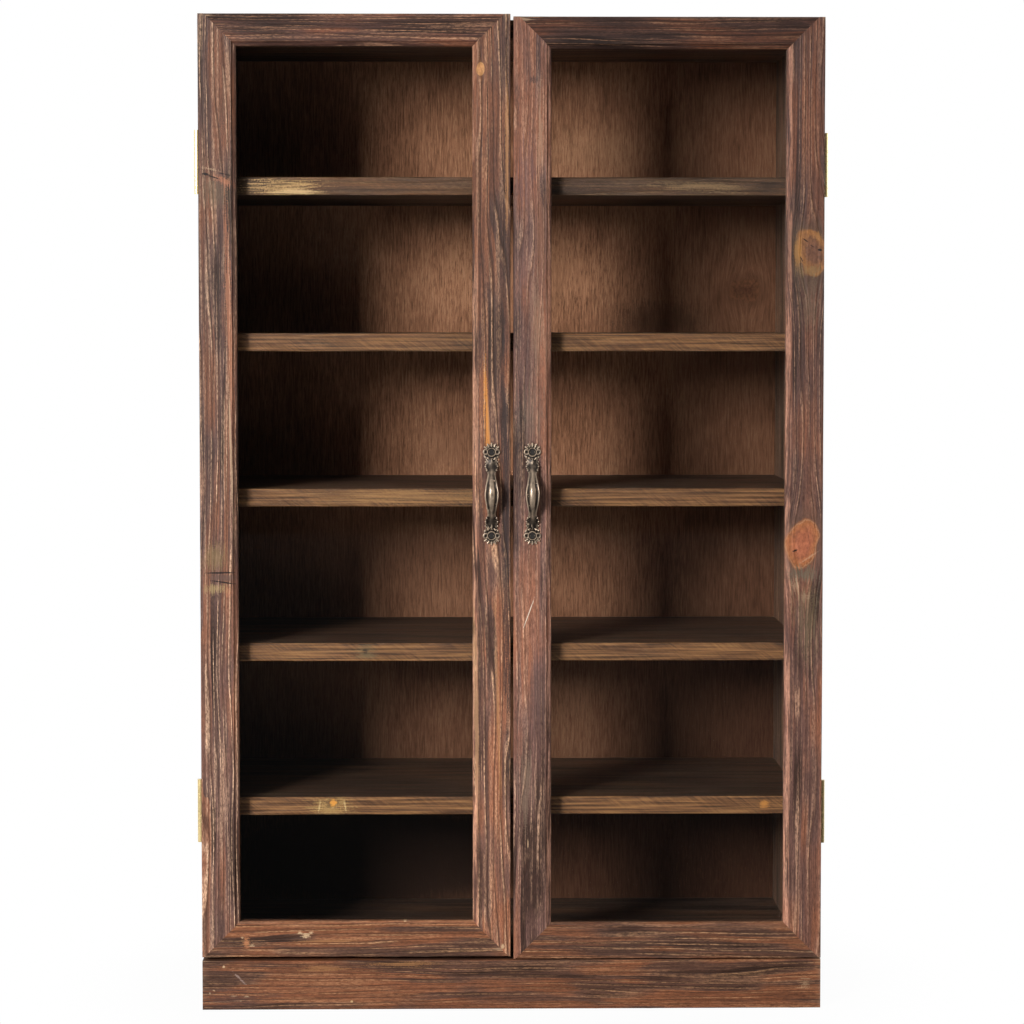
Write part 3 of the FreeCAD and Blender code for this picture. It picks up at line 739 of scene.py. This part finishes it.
# %% All eight members
STAIN = {
    "left_hinge_stile": {
        "tan": 0.85, "red": 0.45, "light": 0.82, "foot": 0.62, "tint": (1.02, 0.95, 0.98), "ring": 6.6,
        "hollows": 0.6, "planed_and_lit": 0.1,
        "marks": [
            Mark(-296, 822, 34, 28, (0.13, 0.09, 0.055), 0.5, 0.7),
            Mark(-300, 846, 16, 2, WORN_TAN, 0.4, 1.2, -12),
            Mark(-288, 835, 20, 6, SALMON, 0.6, 1.0, -27), crack(-305, 841, 9, 3.2, -8),
            crack(-297, 838, 16, 1.5, -18),
            crack(-286, 841, 14, 1.4, -12),
            Mark(-282, 690, 7, 270, SALMON, 0.6, 0.7, 1.7),
            Mark(-281, 560, 2.5, 190, WORN_TAN, 0.6, 0.4, 1.7),
            Mark(-297, 459, 24, 28, (0.24, 0.16, 0.07), 0.5, 0.8),
            Mark(-289, 438, 34, 8, PURPLE_BROWN, 0.8, 0.4),
            Mark(-298, 427, 24, 9, (0.36, 0.25, 0.11), 0.6, 0.8), Mark(-284, 423, 8, 11, SALMON, 0.5, 0.6),
            crack(-292, 443, 36, 2.2, 1), crack(-290, 433.5, 31, 1.8, -8),
        ],
    },
    "left_meeting_stile": {
        "tan": 0.6, "red": 0.75, "light": 0.84, "foot": 0.9, "tint": (1.06, 0.92, 0.86), "ring": 8.0,
        "lean": 0.035,
        "planed_and_lit": 0.6,
        "knots": [Knot(-31, 945, 8, 13, (0.38, 0.18, 0.065), (0.46, 0.22, 0.09), RED_BROWN, 0.2)],
        "marks": [
            Mark(-25, 595, 5, 120, (0.62, 0.24, 0.05), 0.8, 0.6, 2.5),
            Mark(-23, 590, 1.6, 70, GOLDEN, 0.9, 0.4, 2.5),
            Mark(-6, 470, 9, 520, (0.022, 0.014, 0.014), 0.75, 0.5, 0.6),
            Mark(-14, 300, 3, 190, GOLDEN, 0.6, 0.5, 1.5),
            Mark(-5, 860, 4, 170, GOLDEN, 0.6, 0.5),
            Mark(-36, 300, 5, 260, (0.44, 0.25, 0.12), 0.5, 0.5, 1),
            Mark(-9, 64, 5, 4, CHIPPED, 0.8, 0.8),
        ],
    },
    "right_meeting_stile": {
        "tan": 0.4, "red": 0.4, "light": 1.02, "foot": 0.5, "tint": (1.06, 0.95, 0.98), "ring": 7.5,
        "lean": -0.01,
        "hollows": 0.35, "planed_and_lit": 0.4,
        "marks": [
            Mark(17, 402, 1.2, 40, (0.78, 0.68, 0.55), 0.8, 0.2, -20),
            Mark(16, 168, 1.4, 12, CHIPPED, 0.7, 0.3),
            Mark(27, 470, 4, 160, SALMON, 0.25), Mark(28, 880, 7, 110, (0.40, 0.24, 0.15), 0.45, 0.6),
            Mark(29, 775, 12, 90, RED_BROWN, 0.5, 0.7),
            Mark(7, 500, 6, 700, (0.045, 0.03, 0.03), 0.35, 0.6),
            Mark(22, 935, 9, 9, (0.03, 0.02, 0.02), 0.6, 0.5),
            Mark(14, 840, 18, 70, (0.13, 0.062, 0.058), 0.5, 0.9),
            Mark(26, 690, 14, 90, (0.27, 0.165, 0.105), 0.45, 0.9),
            Mark(12, 745, 16, 50, (0.15, 0.075, 0.065), 0.5, 0.9),
            Mark(20, 600, 22, 60, (0.17, 0.12, 0.085), 0.4, 0.9),
            Mark(25, 320, 16, 80, (0.13, 0.07, 0.06), 0.5, 0.9),
            Mark(14, 230, 14, 70, (0.28, 0.19, 0.13), 0.4, 0.9),
        ],
    },
    "right_hinge_stile": {
        "tan": 0.42, "red": 0.5, "light": 0.72, "foot": 0.65, "tint": (1.06, 0.91, 0.9), "ring": 7.0,
        "planed_and_lit": 0.75,
        "hollows": 0.42,
        "knots": [
            Knot(300, 763, 33, 46, (0.26, 0.11, 0.036), (0.135, 0.06, 0.036), (0.1, 0.062, 0.04), 0.0, 0.9),
            Knot(292.6, 471.5, 35, 47, (0.3, 0.108, 0.04), (0.33, 0.105, 0.052), (0.12, 0.065, 0.045), 0.25),
        ],
        "marks": [
            Mark(286, 764, 8, 30, (0.36, 0.17, 0.045), 0.6, 0.7),
            Mark(304, 779, 14, 9, (0.30, 0.145, 0.055), 0.6, 0.6),
            Mark(298, 745, 22, 12, (0.19, 0.120, 0.055), 0.6, 0.8), crack(293, 776, 9, 1.6, -35),
            crack(300, 770, 9, 1.3, -30),
            crack(308, 766, 6, 2.5, -10), crack(290, 756, 8, 1.3, -60),
            Mark(300, 712, 20, 50, (0.15, 0.105, 0.065), 0.35, 0.8),
            Mark(299, 458, 22, 2, WORN_TAN, 0.4, 0.5, 33),
            crack(284.2, 464.5, 6.5, 1.8, 18), Mark(293, 440, 30, 16, (0.13, 0.105, 0.07), 0.7, 0.8),
            Mark(286, 430, 9, 12, WORN_TAN, 0.35, 1.0), Mark(295, 418, 10, 9, WORN_TAN, 0.35, 1.0),
            Mark(298, 400, 24, 70, OLIVE, 0.4, 0.8),
        ],
    },
    "left_top_rail": {
        "tan": 0.7, "light": 0.71, "red": 0.75, "tint": (1.1, 0.86, 0.78), "ring": 5.0, "spread": 0.8,
        "hollows": 0.55,
    },
    "right_top_rail": {
        "tan": 0.55, "light": 0.41, "red": 0.75, "tint": (1.1, 0.86, 0.78), "ring": 5.5, "spread": 0.8,
    },
    "left_bottom_rail": {
        "tan": 0.6, "red": 0.9, "light": 0.99, "tint": (1.2, 0.98, 0.78), "ring": 5.5, "spread": 0.75,
        "hollows": 0.55,
        "planed_and_lit": 0.3,
        "marks": [
            Mark(79, -214, 3, 6, CHIPPED, 0.9, 0.8), Mark(76, -208, 4, 8, CHIPPED, 0.9, 0.9),
            Mark(79, -203, 2, 4, CHIPPED, 0.9, 0.8), Mark(70, -268, 12, 5, (0.60, 0.24, 0.10), 0.6, 1.0),
            Mark(66, -262, 2, 5, CHIPPED, 0.7, 0.8), Mark(74, -272, 2, 3, CHIPPED, 0.7, 0.8),
            Mark(90, -108, 2.5, 3, CHIPPED, 0.9, 0.3), Mark(62, -6, 4, 7, CHIPPED, 0.8, 0.9),
            Mark(70, -190, 3, 60, GOLDEN, 0.5, 0.5),
        ],
    },
    "right_bottom_rail": {
        "tan": 0.55, "red": 0.8, "light": 0.84, "tint": (1.15, 0.96, 0.8), "ring": 6.0, "spread": 0.8,
        "hollows": 0.55,
        "planed_and_lit": 0.3,
    },
}
RIDGE_CLOUD = (0.0026, 0.0026, 0.15)


boards = {}


def settle(board, node, material, body="case"):
    """Let a board take the place of a solid, with its finish."""
    board.data.materials.append(material)
    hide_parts(node)
    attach(board, body)
    boards[node] = board


def door_member(node, seed, wide, long, corner_low, corner_high, turn, place, body):
    board = member(f"{node}_board", wide, long, corner_low, corner_high)
    brush(board, RIDGE_CLOUD, seed, is_member_face)
    across, along = turn
    stand(board, across, (0, 1, 0), along, place)
    grain = "Z" if "stile" in node else "X"
    settle(board, node, stained(node, grain, seed, **STAIN[node]), body)


UPRIGHT = ((1, 0, 0), (0, 0, 1))
UPSIDE = ((-1, 0, 0), (0, 0, -1))
HANGING = ((0, 0, -1), (1, 0, 0))
LYING = ((0, 0, 1), (-1, 0, 0))
seed = 1
for hand in ("left", "right"):
    outer, inner = ("hinge", "meeting") if hand == "left" else ("meeting", "hinge")
    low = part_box(f"{hand}_{outer}_stile")[0]
    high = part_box(f"{hand}_{inner}_stile")[1]
    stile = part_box(f"{hand}_{outer}_stile")[1].x - low.x
    top = high.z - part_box(f"{hand}_top_rail")[0].z
    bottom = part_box(f"{hand}_bottom_rail")[1].z - low.z
    wide, tall = high.x - low.x, high.z - low.z
    members = (
        (f"{outer}_stile", stile, tall, bottom, tall - top, UPRIGHT, (low.x, low.y, low.z)),
        (f"{inner}_stile", stile, tall, top, tall - bottom, UPSIDE, (high.x, low.y, high.z)),
        ("top_rail", top, wide, stile, wide - stile, HANGING, (low.x, low.y, high.z)),
        ("bottom_rail", bottom, wide, stile, wide - stile, LYING, (high.x, low.y, low.z)),
    )
    for name, *sizes in members:
        node = f"{hand}_{name}"
        door_member(node, seed, *sizes, f"{hand}_door")
        seed += 1

# %% [markdown]
# The hinge leaves lie flush in shallow mortises. A Boolean with a block as large as the leaf cuts each one,
# after the brushing, as the joiner's chisel does.


# %% Mortises for the hinge leaves
def mortise(board, leaf, before, after):
    """Cut the seat of a leaf out of a board; before and after: how far the block passes the leaf's box."""
    low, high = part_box(leaf)
    low, high = low - Vector(before) * MM, high + Vector(after) * MM
    select_none()
    bpy.ops.mesh.primitive_cube_add(size=1, location=(low + high) / 2, scale=high - low)
    block = bpy.context.object
    bpy.ops.object.transform_apply()
    cut = board.modifiers.new("mortise", "BOOLEAN")
    cut.operation = "DIFFERENCE"
    cut.object = block
    alone(board)
    bpy.ops.object.modifier_apply(modifier=cut.name)
    bpy.data.objects.remove(block)


for hand in ("left", "right"):
    for level in ("upper", "lower"):
        mortise(boards[f"{hand}_hinge_stile"], f"{hand}_{level}_door_leaf", (0.1, 0.0, 0.1), (0.1, 1.0, 0.1))
print("mortises cut in the hinge stiles")

# %% [markdown]
# ## The case
# Sides, top and bottom are wide boards of the same fir. The sides stand on the floor, with a rebate at the
# back for the plywood, and the top laps over them. Their grids are coarser than the doors', because they
# are seen from further away. A horizontal board is turned so that its own x runs from the back to the
# front.

# %% Sizes of the case
CASE_CELL = (2.5 * MM, 12 * MM)
EDGE_CUTS = (4 * MM, 9 * MM, 14 * MM)
BACKWARDS = (0, -1, 0)
side_low, side_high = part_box("side_left")
side_thick = side_high.x - side_low.x
lap = side_thick / 2
rebate_deep = side_high.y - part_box("back_panel")[0].y
print("sides", round(side_thick / MM, 1), "mm thick, rebate", round(rebate_deep / MM, 1), "mm deep")


# %% Parts of a case board
def front_arris(wide):
    return lambda first, second: min(first.x, second.x) > wide - TINY and abs(first.y - second.y) < TINY


def broad_face(normal):
    return (abs(normal.y) > 0.3 or normal.x > 0.3) and abs(normal.z) < 0.3


def cut_edges(board, cuts):
    for depth in cuts:
        saw(board, (0, depth, 0), (0, 1, 0))


# %% Sides: the right one is the left one turned upside down
SIDE_CLOUD = (0.006, 0.006, 0.19)
for hand, sign in (("left", 1), ("right", -1)):
    node = f"side_{hand}"
    low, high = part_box(node)
    wide, tall = high.y - low.y, high.z - low.z
    layers = (lap, side_thick - lap)
    board = make_board(f"{node}_board", wide, tall, CASE_CELL, layers, lambda middle: middle.x > rebate_deep)
    cut_edges(board, EDGE_CUTS)
    soften(board, ARRIS, front_arris(wide))
    brush(board, SIDE_CLOUD, seed, broad_face)
    corner = (low.x, high.y, low.z) if sign > 0 else (high.x, high.y, high.z)
    stand(board, BACKWARDS, (sign, 0, 0), (0, 0, sign), corner)
    settle(board, node, stained(node, "side", seed, tan=0.6, red=0.55, light=0.9))
    for level in ("upper", "lower"):
        mortise(board, f"{hand}_{level}_case_leaf", (0.1, 1.0, 0.1), (0.1, 0.0, 0.1))
    seed += 1

# %% Top and bottom
FLAT_CLOUD = (0.008, 0.006, 0.19)


def lay(board, node):
    """Lay a board flat, its face up."""
    low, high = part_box(node)
    stand(board, BACKWARDS, (0, 0, -1), (1, 0, 0), (low.x, high.y, high.z))


low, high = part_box("top_board")
wide, long = high.y - low.y, high.x - low.x
inside = (side_thick, long - side_thick)
board = make_board(
    "top_board_board", wide, long, CASE_CELL, (lap, high.z - low.z - lap),
    lambda middle: middle.x > rebate_deep and inside[0] < middle.z < inside[1],
    [("z", place) for place in inside],
)
cut_edges(board, EDGE_CUTS)
soften(board, ARRIS, front_arris(wide))
brush(board, FLAT_CLOUD, seed, broad_face)
lay(board, "top_board")
settle(board, "top_board", stained("top_board", "flat", seed, tan=0.6, red=0.5, light=0.9))
seed += 1


def plain_board(node, cell, cloud):
    """A board without steps, lying flat."""
    low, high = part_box(node)
    wide = high.y - low.y
    board = make_board(f"{node}_board", wide, high.x - low.x, cell, (high.z - low.z,))
    cut_edges(board, EDGE_CUTS)
    soften(board, ARRIS, front_arris(wide))
    brush(board, cloud, seed, broad_face)
    lay(board, node)
    return board


board = plain_board("bottom_board", CASE_CELL, FLAT_CLOUD)
settle(board, "bottom_board", stained("bottom_board", "flat", seed, tan=0.4, red=0.3, light=0.6))
seed += 1

# %% [markdown]
# ## Shelves
# The shelves are the same boards, but their tops are dark with dust and stain, and their front edges were
# sawn and hardly stained: they are golden and carry the slanting marks of the saw. The finish finds the
# front edge by its place, a few millimetres behind the front of the board.

# %% Shelf finish
SHELF_MARKS = {
    "shelf_1": [
        Mark(829, -226, 18, 58, (0.50, 0.29, 0.125), 0.85, 1.0),
        Mark(825, -216, 6, 40, (0.56, 0.36, 0.18), 0.8, 0.9),
        Mark(832, -232, 2, 26, DEEP_BROWN, 0.7, 0.9), Mark(830, 190, 6, 90, (0.30, 0.18, 0.09), 0.5, 1.0),
        Mark(827, 60, 10, 60, NEAR_BLACK, 0.5, 0.9), Mark(830, 258, 16, 40, NEAR_BLACK, 0.6, 0.8),
    ],
    "shelf_3": [Mark(517, -90, 12, 190, (0.42, 0.22, 0.09), 0.35, 0.9)],
    "shelf_4": [Mark(360, -148, 15, 20, OLIVE, 0.5, 0.9), Mark(361, -148, 6, 7, NEAR_BLACK, 0.8)],
    "shelf_5": [
        Mark(203, -182, 20, 36, (0.46, 0.27, 0.10), 0.75, 0.8),
        Mark(203, -195, 13, 2, (0.66, 0.44, 0.20), 0.7, 0.5, 10),
        Mark(203, -169, 13, 2, (0.66, 0.44, 0.20), 0.7, 0.5, -10),
        Mark(206, -182, 11, 15, (0.10, 0.045, 0.018), 0.8, 0.5),
        Mark(206.5, -181, 9, 8, (0.68, 0.28, 0.05), 1.0, 0.3),
        Mark(204, 257, 9, 10, (0.55, 0.22, 0.05), 0.8, 0.7),
    ],
}


def shelf_finish(node, seed, light, stain):
    finish = wood_finish(node, "flat", seed, tan=0.35, red=0.25, light=0.62, tint=(1.0, 0.95, 0.84))
    x, y, z = finish.axes(finish.millimetres())
    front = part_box(node)[0].y / MM
    edge = finish.smooth(y, front + 2.2, front + 1.0)
    slanted = finish.times_plus(z, 1.4, x)
    saw_marks = finish.noise(finish.scaled(finish.vector(slanted, z, seed), (0.75, 0.05, 1.0)), 3.0, 0.65)
    long_streak = finish.noise(finish.scaled(finish.vector(x, z, seed), (0.012, 0.45, 1.0)), 2.0, 0.55)
    tone = finish.times_plus(saw_marks, 0.45, finish.times(long_streak, 0.65))
    stops = [(0.40, (0.035, 0.015, 0.008)), (0.53, (0.17, 0.070, 0.028)), (0.68, GOLDEN)]
    sawn = finish.mix(stain, finish.ramp(tone, stops), finish.dimmed(finish.colour, 2.2))
    dusty = finish.colour
    finish.colour = finish.dimmed(sawn, light)
    for each in SHELF_MARKS.get(node, ()):
        paint_mark(finish, z, x, each)
    finish.colour = finish.mix(edge, dusty, finish.colour)
    finish.height = finish.times_plus(saw_marks, 0.5, finish.height)
    wear_edges(finish, 0.6)
    return finished(finish)


# %% Five shelves
SHELF_CELL = (5 * MM, 10 * MM)
SHELF_CLOUD = (0.012, 0.005, 0.16)
SHELF_STAIN = ((0.43, 0.7), (0.72, 0.2), (0.70, 0.1), (0.80, 0.1), (0.82, 0.0))
for number, stain in enumerate(SHELF_STAIN, 1):
    node = f"shelf_{number}"
    board = plain_board(node, SHELF_CELL, SHELF_CLOUD)
    settle(board, node, shelf_finish(node, seed, *stain))
    seed += 1

# %% [markdown]
# ## Plinth
# The plinth is a smoother board, planed rather than brushed. It has taken the most knocks: its ends are
# speckled with chips of bare wood.

# %% Plinth
PLINTH_MARKS = [
    Mark(44, -291, 2.5, 3, CHIPPED, 0.9, 0.3), Mark(14, -281, 2, 6, CHIPPED, 0.9, 0.7),
    Mark(14, -268, 2, 5, CHIPPED, 0.9, 0.7), Mark(9, -274, 1.5, 2, CHIPPED, 0.8, 0.4),
    Mark(20, -301, 2, 3, CHIPPED, 0.7, 0.7), Mark(17, -305, 2, 2, CHIPPED, 0.7, 0.7),
    Mark(33, -276, 2.5, 20, (0.35, 0.24, 0.20), 0.6, 0.6, 45),
    Mark(8, -162, 3, 3, (0.6, 0.4, 0.2), 0.8, 0.3),
    Mark(42, -190, 7, 40, GOLDEN, 0.5, 0.8), Mark(46, -110, 5, 60, GOLDEN, 0.5, 0.8),
    Mark(13, -280, 18, 60, (0.055, 0.032, 0.030), 0.5, 0.8), Mark(25, 297, 8, 10, CHIPPED, 0.3, 1.2),
]
low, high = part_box("plinth_board")
wide = high.z - low.z
board = make_board("plinth_board_board", wide, high.x - low.x, FINE_CELL, (high.y - low.y,))
cut_edges(board, EDGE_CUTS)
soften(board, ARRIS, lambda first, second: max(first.y, second.y) < TINY and (
    max(first.x, second.x) < TINY or min(first.x, second.x) > wide - TINY
))
brush(board, (0.005, 0.005, 0.22), seed, lambda normal: normal.y < -0.3 and abs(normal.z) < 0.5, 0.25 * MM)
stand(board, (0, 0, -1), (0, 1, 0), (1, 0, 0), (low.x, low.y, high.z))
settle(board, "plinth_board", stained(
    "plinth_board", "X", seed, tan=0.4, red=1.0, light=0.96, tint=(1.12, 0.9, 0.72), spread=0.7,
    hollows=0.5,
    ring=5.5, marks=PLINTH_MARKS,
))
seed += 1

# %% [markdown]
# ## Plywood back
# The back is a sheet of reddish tropical plywood. Its figure is made of short dark pores, all upright, over
# slow clouds of colour, with a knot, a few stains and one painted shadow. Painted shade darkens its ends and
# its foot, where the sides and the shelves shade it. The sheet is flat, so the solid stays and only gets its
# finish, and the pins that hold it are new.


# %% Plywood finish
# Painted shade on the back: the colour darkens towards both ends of the sheet and towards its foot, where
# the sides and the shelves shade it
LIT_MIDDLE = 25.0        # millimetres from the middle of the cabinet
LIT_REACH_RIGHT = 235.0        # how far the painted light reaches from there before the painted shade of the ends
LIT_REACH_LEFT = 600.0
LEAST_LIT = 0.38
FOOT_SHADE = (60, 560)        # heights between which the painted shade of the foot ends
PLYWOOD_PAINTED_SHADE = (0.022, 0.007, 0.0035)
PLYWOOD_PORE = (0.085, 0.034, 0.018)
PLYWOOD_KNOT = Knot(
    262, 729, 34, 26, (0.10, 0.040, 0.020), (0.06, 0.022, 0.012), (0.07, 0.028, 0.015), 0.0,
)


def plywood_finish():
    finish = Finish("plywood_back")
    x, z, y = grain_axes(finish, "Z")
    sheet = finish.vector(x, z, y)
    field = KnotField(finish, x, z, PLYWOOD_KNOT)
    bent = finish.vector(finish.minus(x, field.pull), z, y)
    cloud = finish.cloud(bent, (0.012, 0.006, 1.0), 3.0, 0.6)
    figure = finish.cloud(bent, (0.8, 0.045, 1.0), 3.0, 0.7)
    tick = finish.cloud(bent, (1.1, 0.11, 1.0), 2.0, 0.6)
    tone = finish.times_plus(figure, 0.65, finish.times(cloud, 0.4))
    stops = [(0.4, (0.16, 0.066, 0.034)), (0.53, (0.325, 0.142, 0.078)), (0.66, (0.45, 0.22, 0.125))]
    finish.colour = finish.ramp(tone, stops)
    # Painted shade: darker towards both ends and towards the foot of the sheet
    aside = finish.minus(x, LIT_MIDDLE)
    right = finish.math("DIVIDE", aside, LIT_REACH_RIGHT)
    aside = finish.larger(right, finish.math("DIVIDE", aside, -LIT_REACH_LEFT))
    fade = finish.minus(1.0, finish.math("POWER", aside, 2.0))
    fade = finish.larger(fade, LEAST_LIT)
    foot = finish.times_plus(finish.smooth(z, *FOOT_SHADE), 0.70, 0.18)
    finish.colour = finish.mix(finish.times(fade, foot), PLYWOOD_PAINTED_SHADE, finish.colour)
    pore = finish.times(finish.smooth(tick, 0.53, 0.66), 0.5)
    finish.colour = finish.mix(pore, finish.colour, PLYWOOD_PORE)
    finish.height = finish.minus(1.0, pore)
    finish.fibre = tick
    field.paint(finish, x, z)
    return finish, x, z


finish, x, z = plywood_finish()
for each in (
    Mark(-110, 425, 220, 110, (0.10, 0.045, 0.026), 0.3, 0.6),
    Mark(20, 745, 220, 120, (0.52, 0.25, 0.14), 0.25, 0.4),
    Mark(-60, 560, 90, 60, (0.10, 0.045, 0.026), 0.35, 0.8),
    Mark(160, 330, 140, 40, (0.11, 0.05, 0.03), 0.3, 0.8),
    Mark(90, 880, 120, 50, (0.30, 0.16, 0.09), 0.3, 0.8),
    # Painted shadow: the bottom shelf's shade over the back of the lowest compartment
    Mark(-140, 105, 460, 150, (0.018, 0.008, 0.005), 0.95, 0.06),
    Mark(165, 695, 110, 50, (0.05, 0.022, 0.013), 0.6, 0.4),
):
    paint_mark(finish, x, z, each)
plywood = finished(finish, 0.2 * MM, 0.6, 0.05)


def dress(name, material):
    nodes[name].data.materials.clear()
    nodes[name].data.materials.append(material)


dress("back_panel", plywood)

# %% Panel pins round the back
PIN_RADIUS = 2.2 * MM
PIN_PROUD = 0.5 * MM
PIN_SPACING = 0.12
PIN_INSET = 4.5 * MM

low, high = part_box("back_panel")
select_none()
bpy.ops.mesh.primitive_cylinder_add(
    vertices=14, radius=PIN_RADIUS, depth=2 * PIN_PROUD,
    location=(low.x + PIN_INSET, high.y, low.z + PIN_INSET), rotation=(radians(90), 0, 0),
)
pin = bpy.context.object
pin.name = "panel_pins"
bpy.ops.object.transform_apply()
choose(pin, "FACE", lambda middle, normal: normal.y > 0.9)
bpy.ops.mesh.bevel(offset=0.35 * MM, segments=2)
leave_edit()
places = []
across = round((high.x - low.x - 2 * PIN_INSET) / PIN_SPACING)
upward = round((high.z - low.z - 2 * PIN_INSET) / PIN_SPACING)
for index in range(across + 1):
    shift = (high.x - low.x - 2 * PIN_INSET) * index / across
    places += [(shift, 0, 0), (shift, 0, high.z - low.z - 2 * PIN_INSET)]
for index in range(1, upward):
    shift = (high.z - low.z - 2 * PIN_INSET) * index / upward
    places += [(0, 0, shift), (high.x - low.x - 2 * PIN_INSET, 0, shift)]
edit_all()
for first, second in zip(places[:-1], places[1:]):
    move = Vector(second) - Vector(first)
    bpy.ops.mesh.duplicate_move(TRANSFORM_OT_translate={"value": move})
leave_edit()
print(len(places), "panel pins")


# %% [markdown]
# ## Metal, plastic and glass
# The small parts keep their solids. Cast bronze is dark in its hollows and bright where hands rub it, which
# Pointiness finds: it is high on ridges and low in grooves. Polished brass is clean but for faint smears,
# and plated steel has the fine spangle of zinc.


# %% Metals
def metal_finish(
    name, bright, dull, wear, rough, cloud_size, grain_size, bare=0.7, high=(0.47, 0.55), ends=None,
):
    """bright on the ridges,
    dull in the hollows; cloud_size and grain_size in millimetres; bare: the share of
    bare metal; ends: a height in metres, and how far from it the metal starts and stops darkening."""
    finish = Finish(name)
    block = finish.millimetres()
    cloud = finish.noise(finish.scaled(block, (1 / cloud_size,) * 3), 3.0, 0.6)
    grain = finish.noise(finish.scaled(block, (1 / grain_size,) * 3), 2.0, 0.6)
    sharp = finish.node("ShaderNodeNewGeometry").outputs["Pointiness"]
    rubbed = finish.times_plus(finish.minus(cloud, 0.5), wear, finish.smooth(sharp, *high))
    colour = finish.mix(finish.smooth(rubbed, 0.0, 1.0), dull, bright)
    colour = finish.dimmed(colour, finish.times_plus(grain, 0.5, 0.75))
    if ends:
        middle, start, end = ends
        far = finish.math("ABSOLUTE", finish.minus(finish.axes(finish.place)["Z"], middle))
        dim = finish.times_plus(finish.smooth(far, start, end), -0.25, 1.0)
        colour = finish.dimmed(colour, dim)
    finish.shade("Base Color", colour)
    finish.shade("Metallic", bare)
    finish.shade("Roughness", finish.times_plus(cloud, 0.35, rough - 0.15))
    finish.relief(grain, 0.12 * MM, 0.5)
    return finish.material


handle_low, handle_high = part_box("left_handle")
grip = ((handle_low.z + handle_high.z) / 2, 22 * MM, 32 * MM)
bronze = metal_finish(
    "antique_bronze", (0.66, 0.50, 0.36), (0.030, 0.022, 0.018), 0.7, 0.36, 6.0, 0.8, 0.6, (0.48, 0.54),
    grip,
)
# Painted shade: the screws deep in the rosettes' hollows are near-black bronze, standing in for the shade
# that fills the hollows
bronze_in_painted_shade = metal_finish(
    "bronze_in_painted_shade", (0.014, 0.011, 0.009), (0.005, 0.004, 0.003), 0.7, 0.8, 5.0, 0.8, 0.0,
)
brass = metal_finish("polished_brass", (0.95, 0.74, 0.36), (0.80, 0.57, 0.24), 0.6, 0.25, 9.0, 1.2, 0.6)
screw_brass = metal_finish("screw_brass", (0.75, 0.57, 0.27), (0.35, 0.24, 0.10), 0.6, 0.3, 4.0, 0.6)
zinc = metal_finish("zinc_plate", (0.66, 0.67, 0.68), (0.40, 0.41, 0.42), 0.9, 0.35, 3.0, 1.0)
magnet = metal_finish("sintered_magnet", (0.20, 0.20, 0.21), (0.07, 0.07, 0.075), 0.9, 0.55, 3.0, 0.5)
pin.data.materials.append(zinc)
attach(pin, "case")


# %% Brown moulded plastic of the catches
def plastic_finish():
    finish = Finish("brown_plastic")
    block = finish.millimetres()
    spark = finish.cloud(block, (2.2, 2.2, 2.2), 3.0, 0.65)
    scuff = finish.cloud(block, (0.25, 0.25, 0.25), 3.0, 0.6)
    stops = [(0.35, (0.035, 0.018, 0.011)), (0.65, (0.075, 0.040, 0.025))]
    finish.shade("Base Color", finish.ramp(scuff, stops))
    finish.shade("Roughness", finish.times_plus(scuff, 0.3, 0.35))
    finish.relief(spark, 0.08 * MM, 0.6)
    return finish.material


plastic = plastic_finish()

# %% Glass with faint smears
finish = Finish("clear_glass")
smear = finish.noise(finish.scaled(finish.place, (9, 9, 5)), 3.0, 0.6)
finish.shade("Base Color", (0.97, 0.99, 0.98, 1))
finish.shade("Roughness", finish.times(finish.smooth(smear, 0.5, 0.8), 0.04))
finish.shade("Transmission Weight", 1.0)
finish.shade("IOR", 1.45)
path = finish.node("ShaderNodeLightPath").outputs
through = finish.larger(path["Is Shadow Ray"], path["Is Diffuse Ray"])
clear = finish.node("ShaderNodeBsdfTransparent", {"Color": (0.96, 0.98, 0.97, 1)}).outputs[0]
seen_as(finish, through, finish.shader.outputs[0], clear, "Material Output")
glass = finish.material

# %% Dress the solids that stay
bead_wood = finished(wood_finish(
    "bead_wood", "Z", seed, tan=0.05, light=0.7, ring=40, hollows=0.15, ridged=False,
))
spline_wood = stained("spline_wood", "X", seed + 1, tan=0.3, light=0.8, ridged=False)
DRESS = {
    "_glass": glass, "_beads": bead_wood, "_splines": spline_wood, "_handle": bronze,
    "_handle_screws": bronze_in_painted_shade,
    "_case_leaf": brass, "_door_leaf": brass, "_hinge_pin": brass, "_leaf_screws": screw_brass,
    "_catch_case": plastic, "_catch_magnet": magnet, "_strike_plate": zinc, "_strike_screw": zinc,
    "catch_screws": zinc,
}
for name in nodes:
    for ending, material in DRESS.items():
        if name.endswith(ending):
            dress(name, material)
bare = [name for name in nodes if name not in boards and not nodes[name].data.materials]
print("nodes without a finish:", bare)

# %% Done
print("the cabinet is dressed")
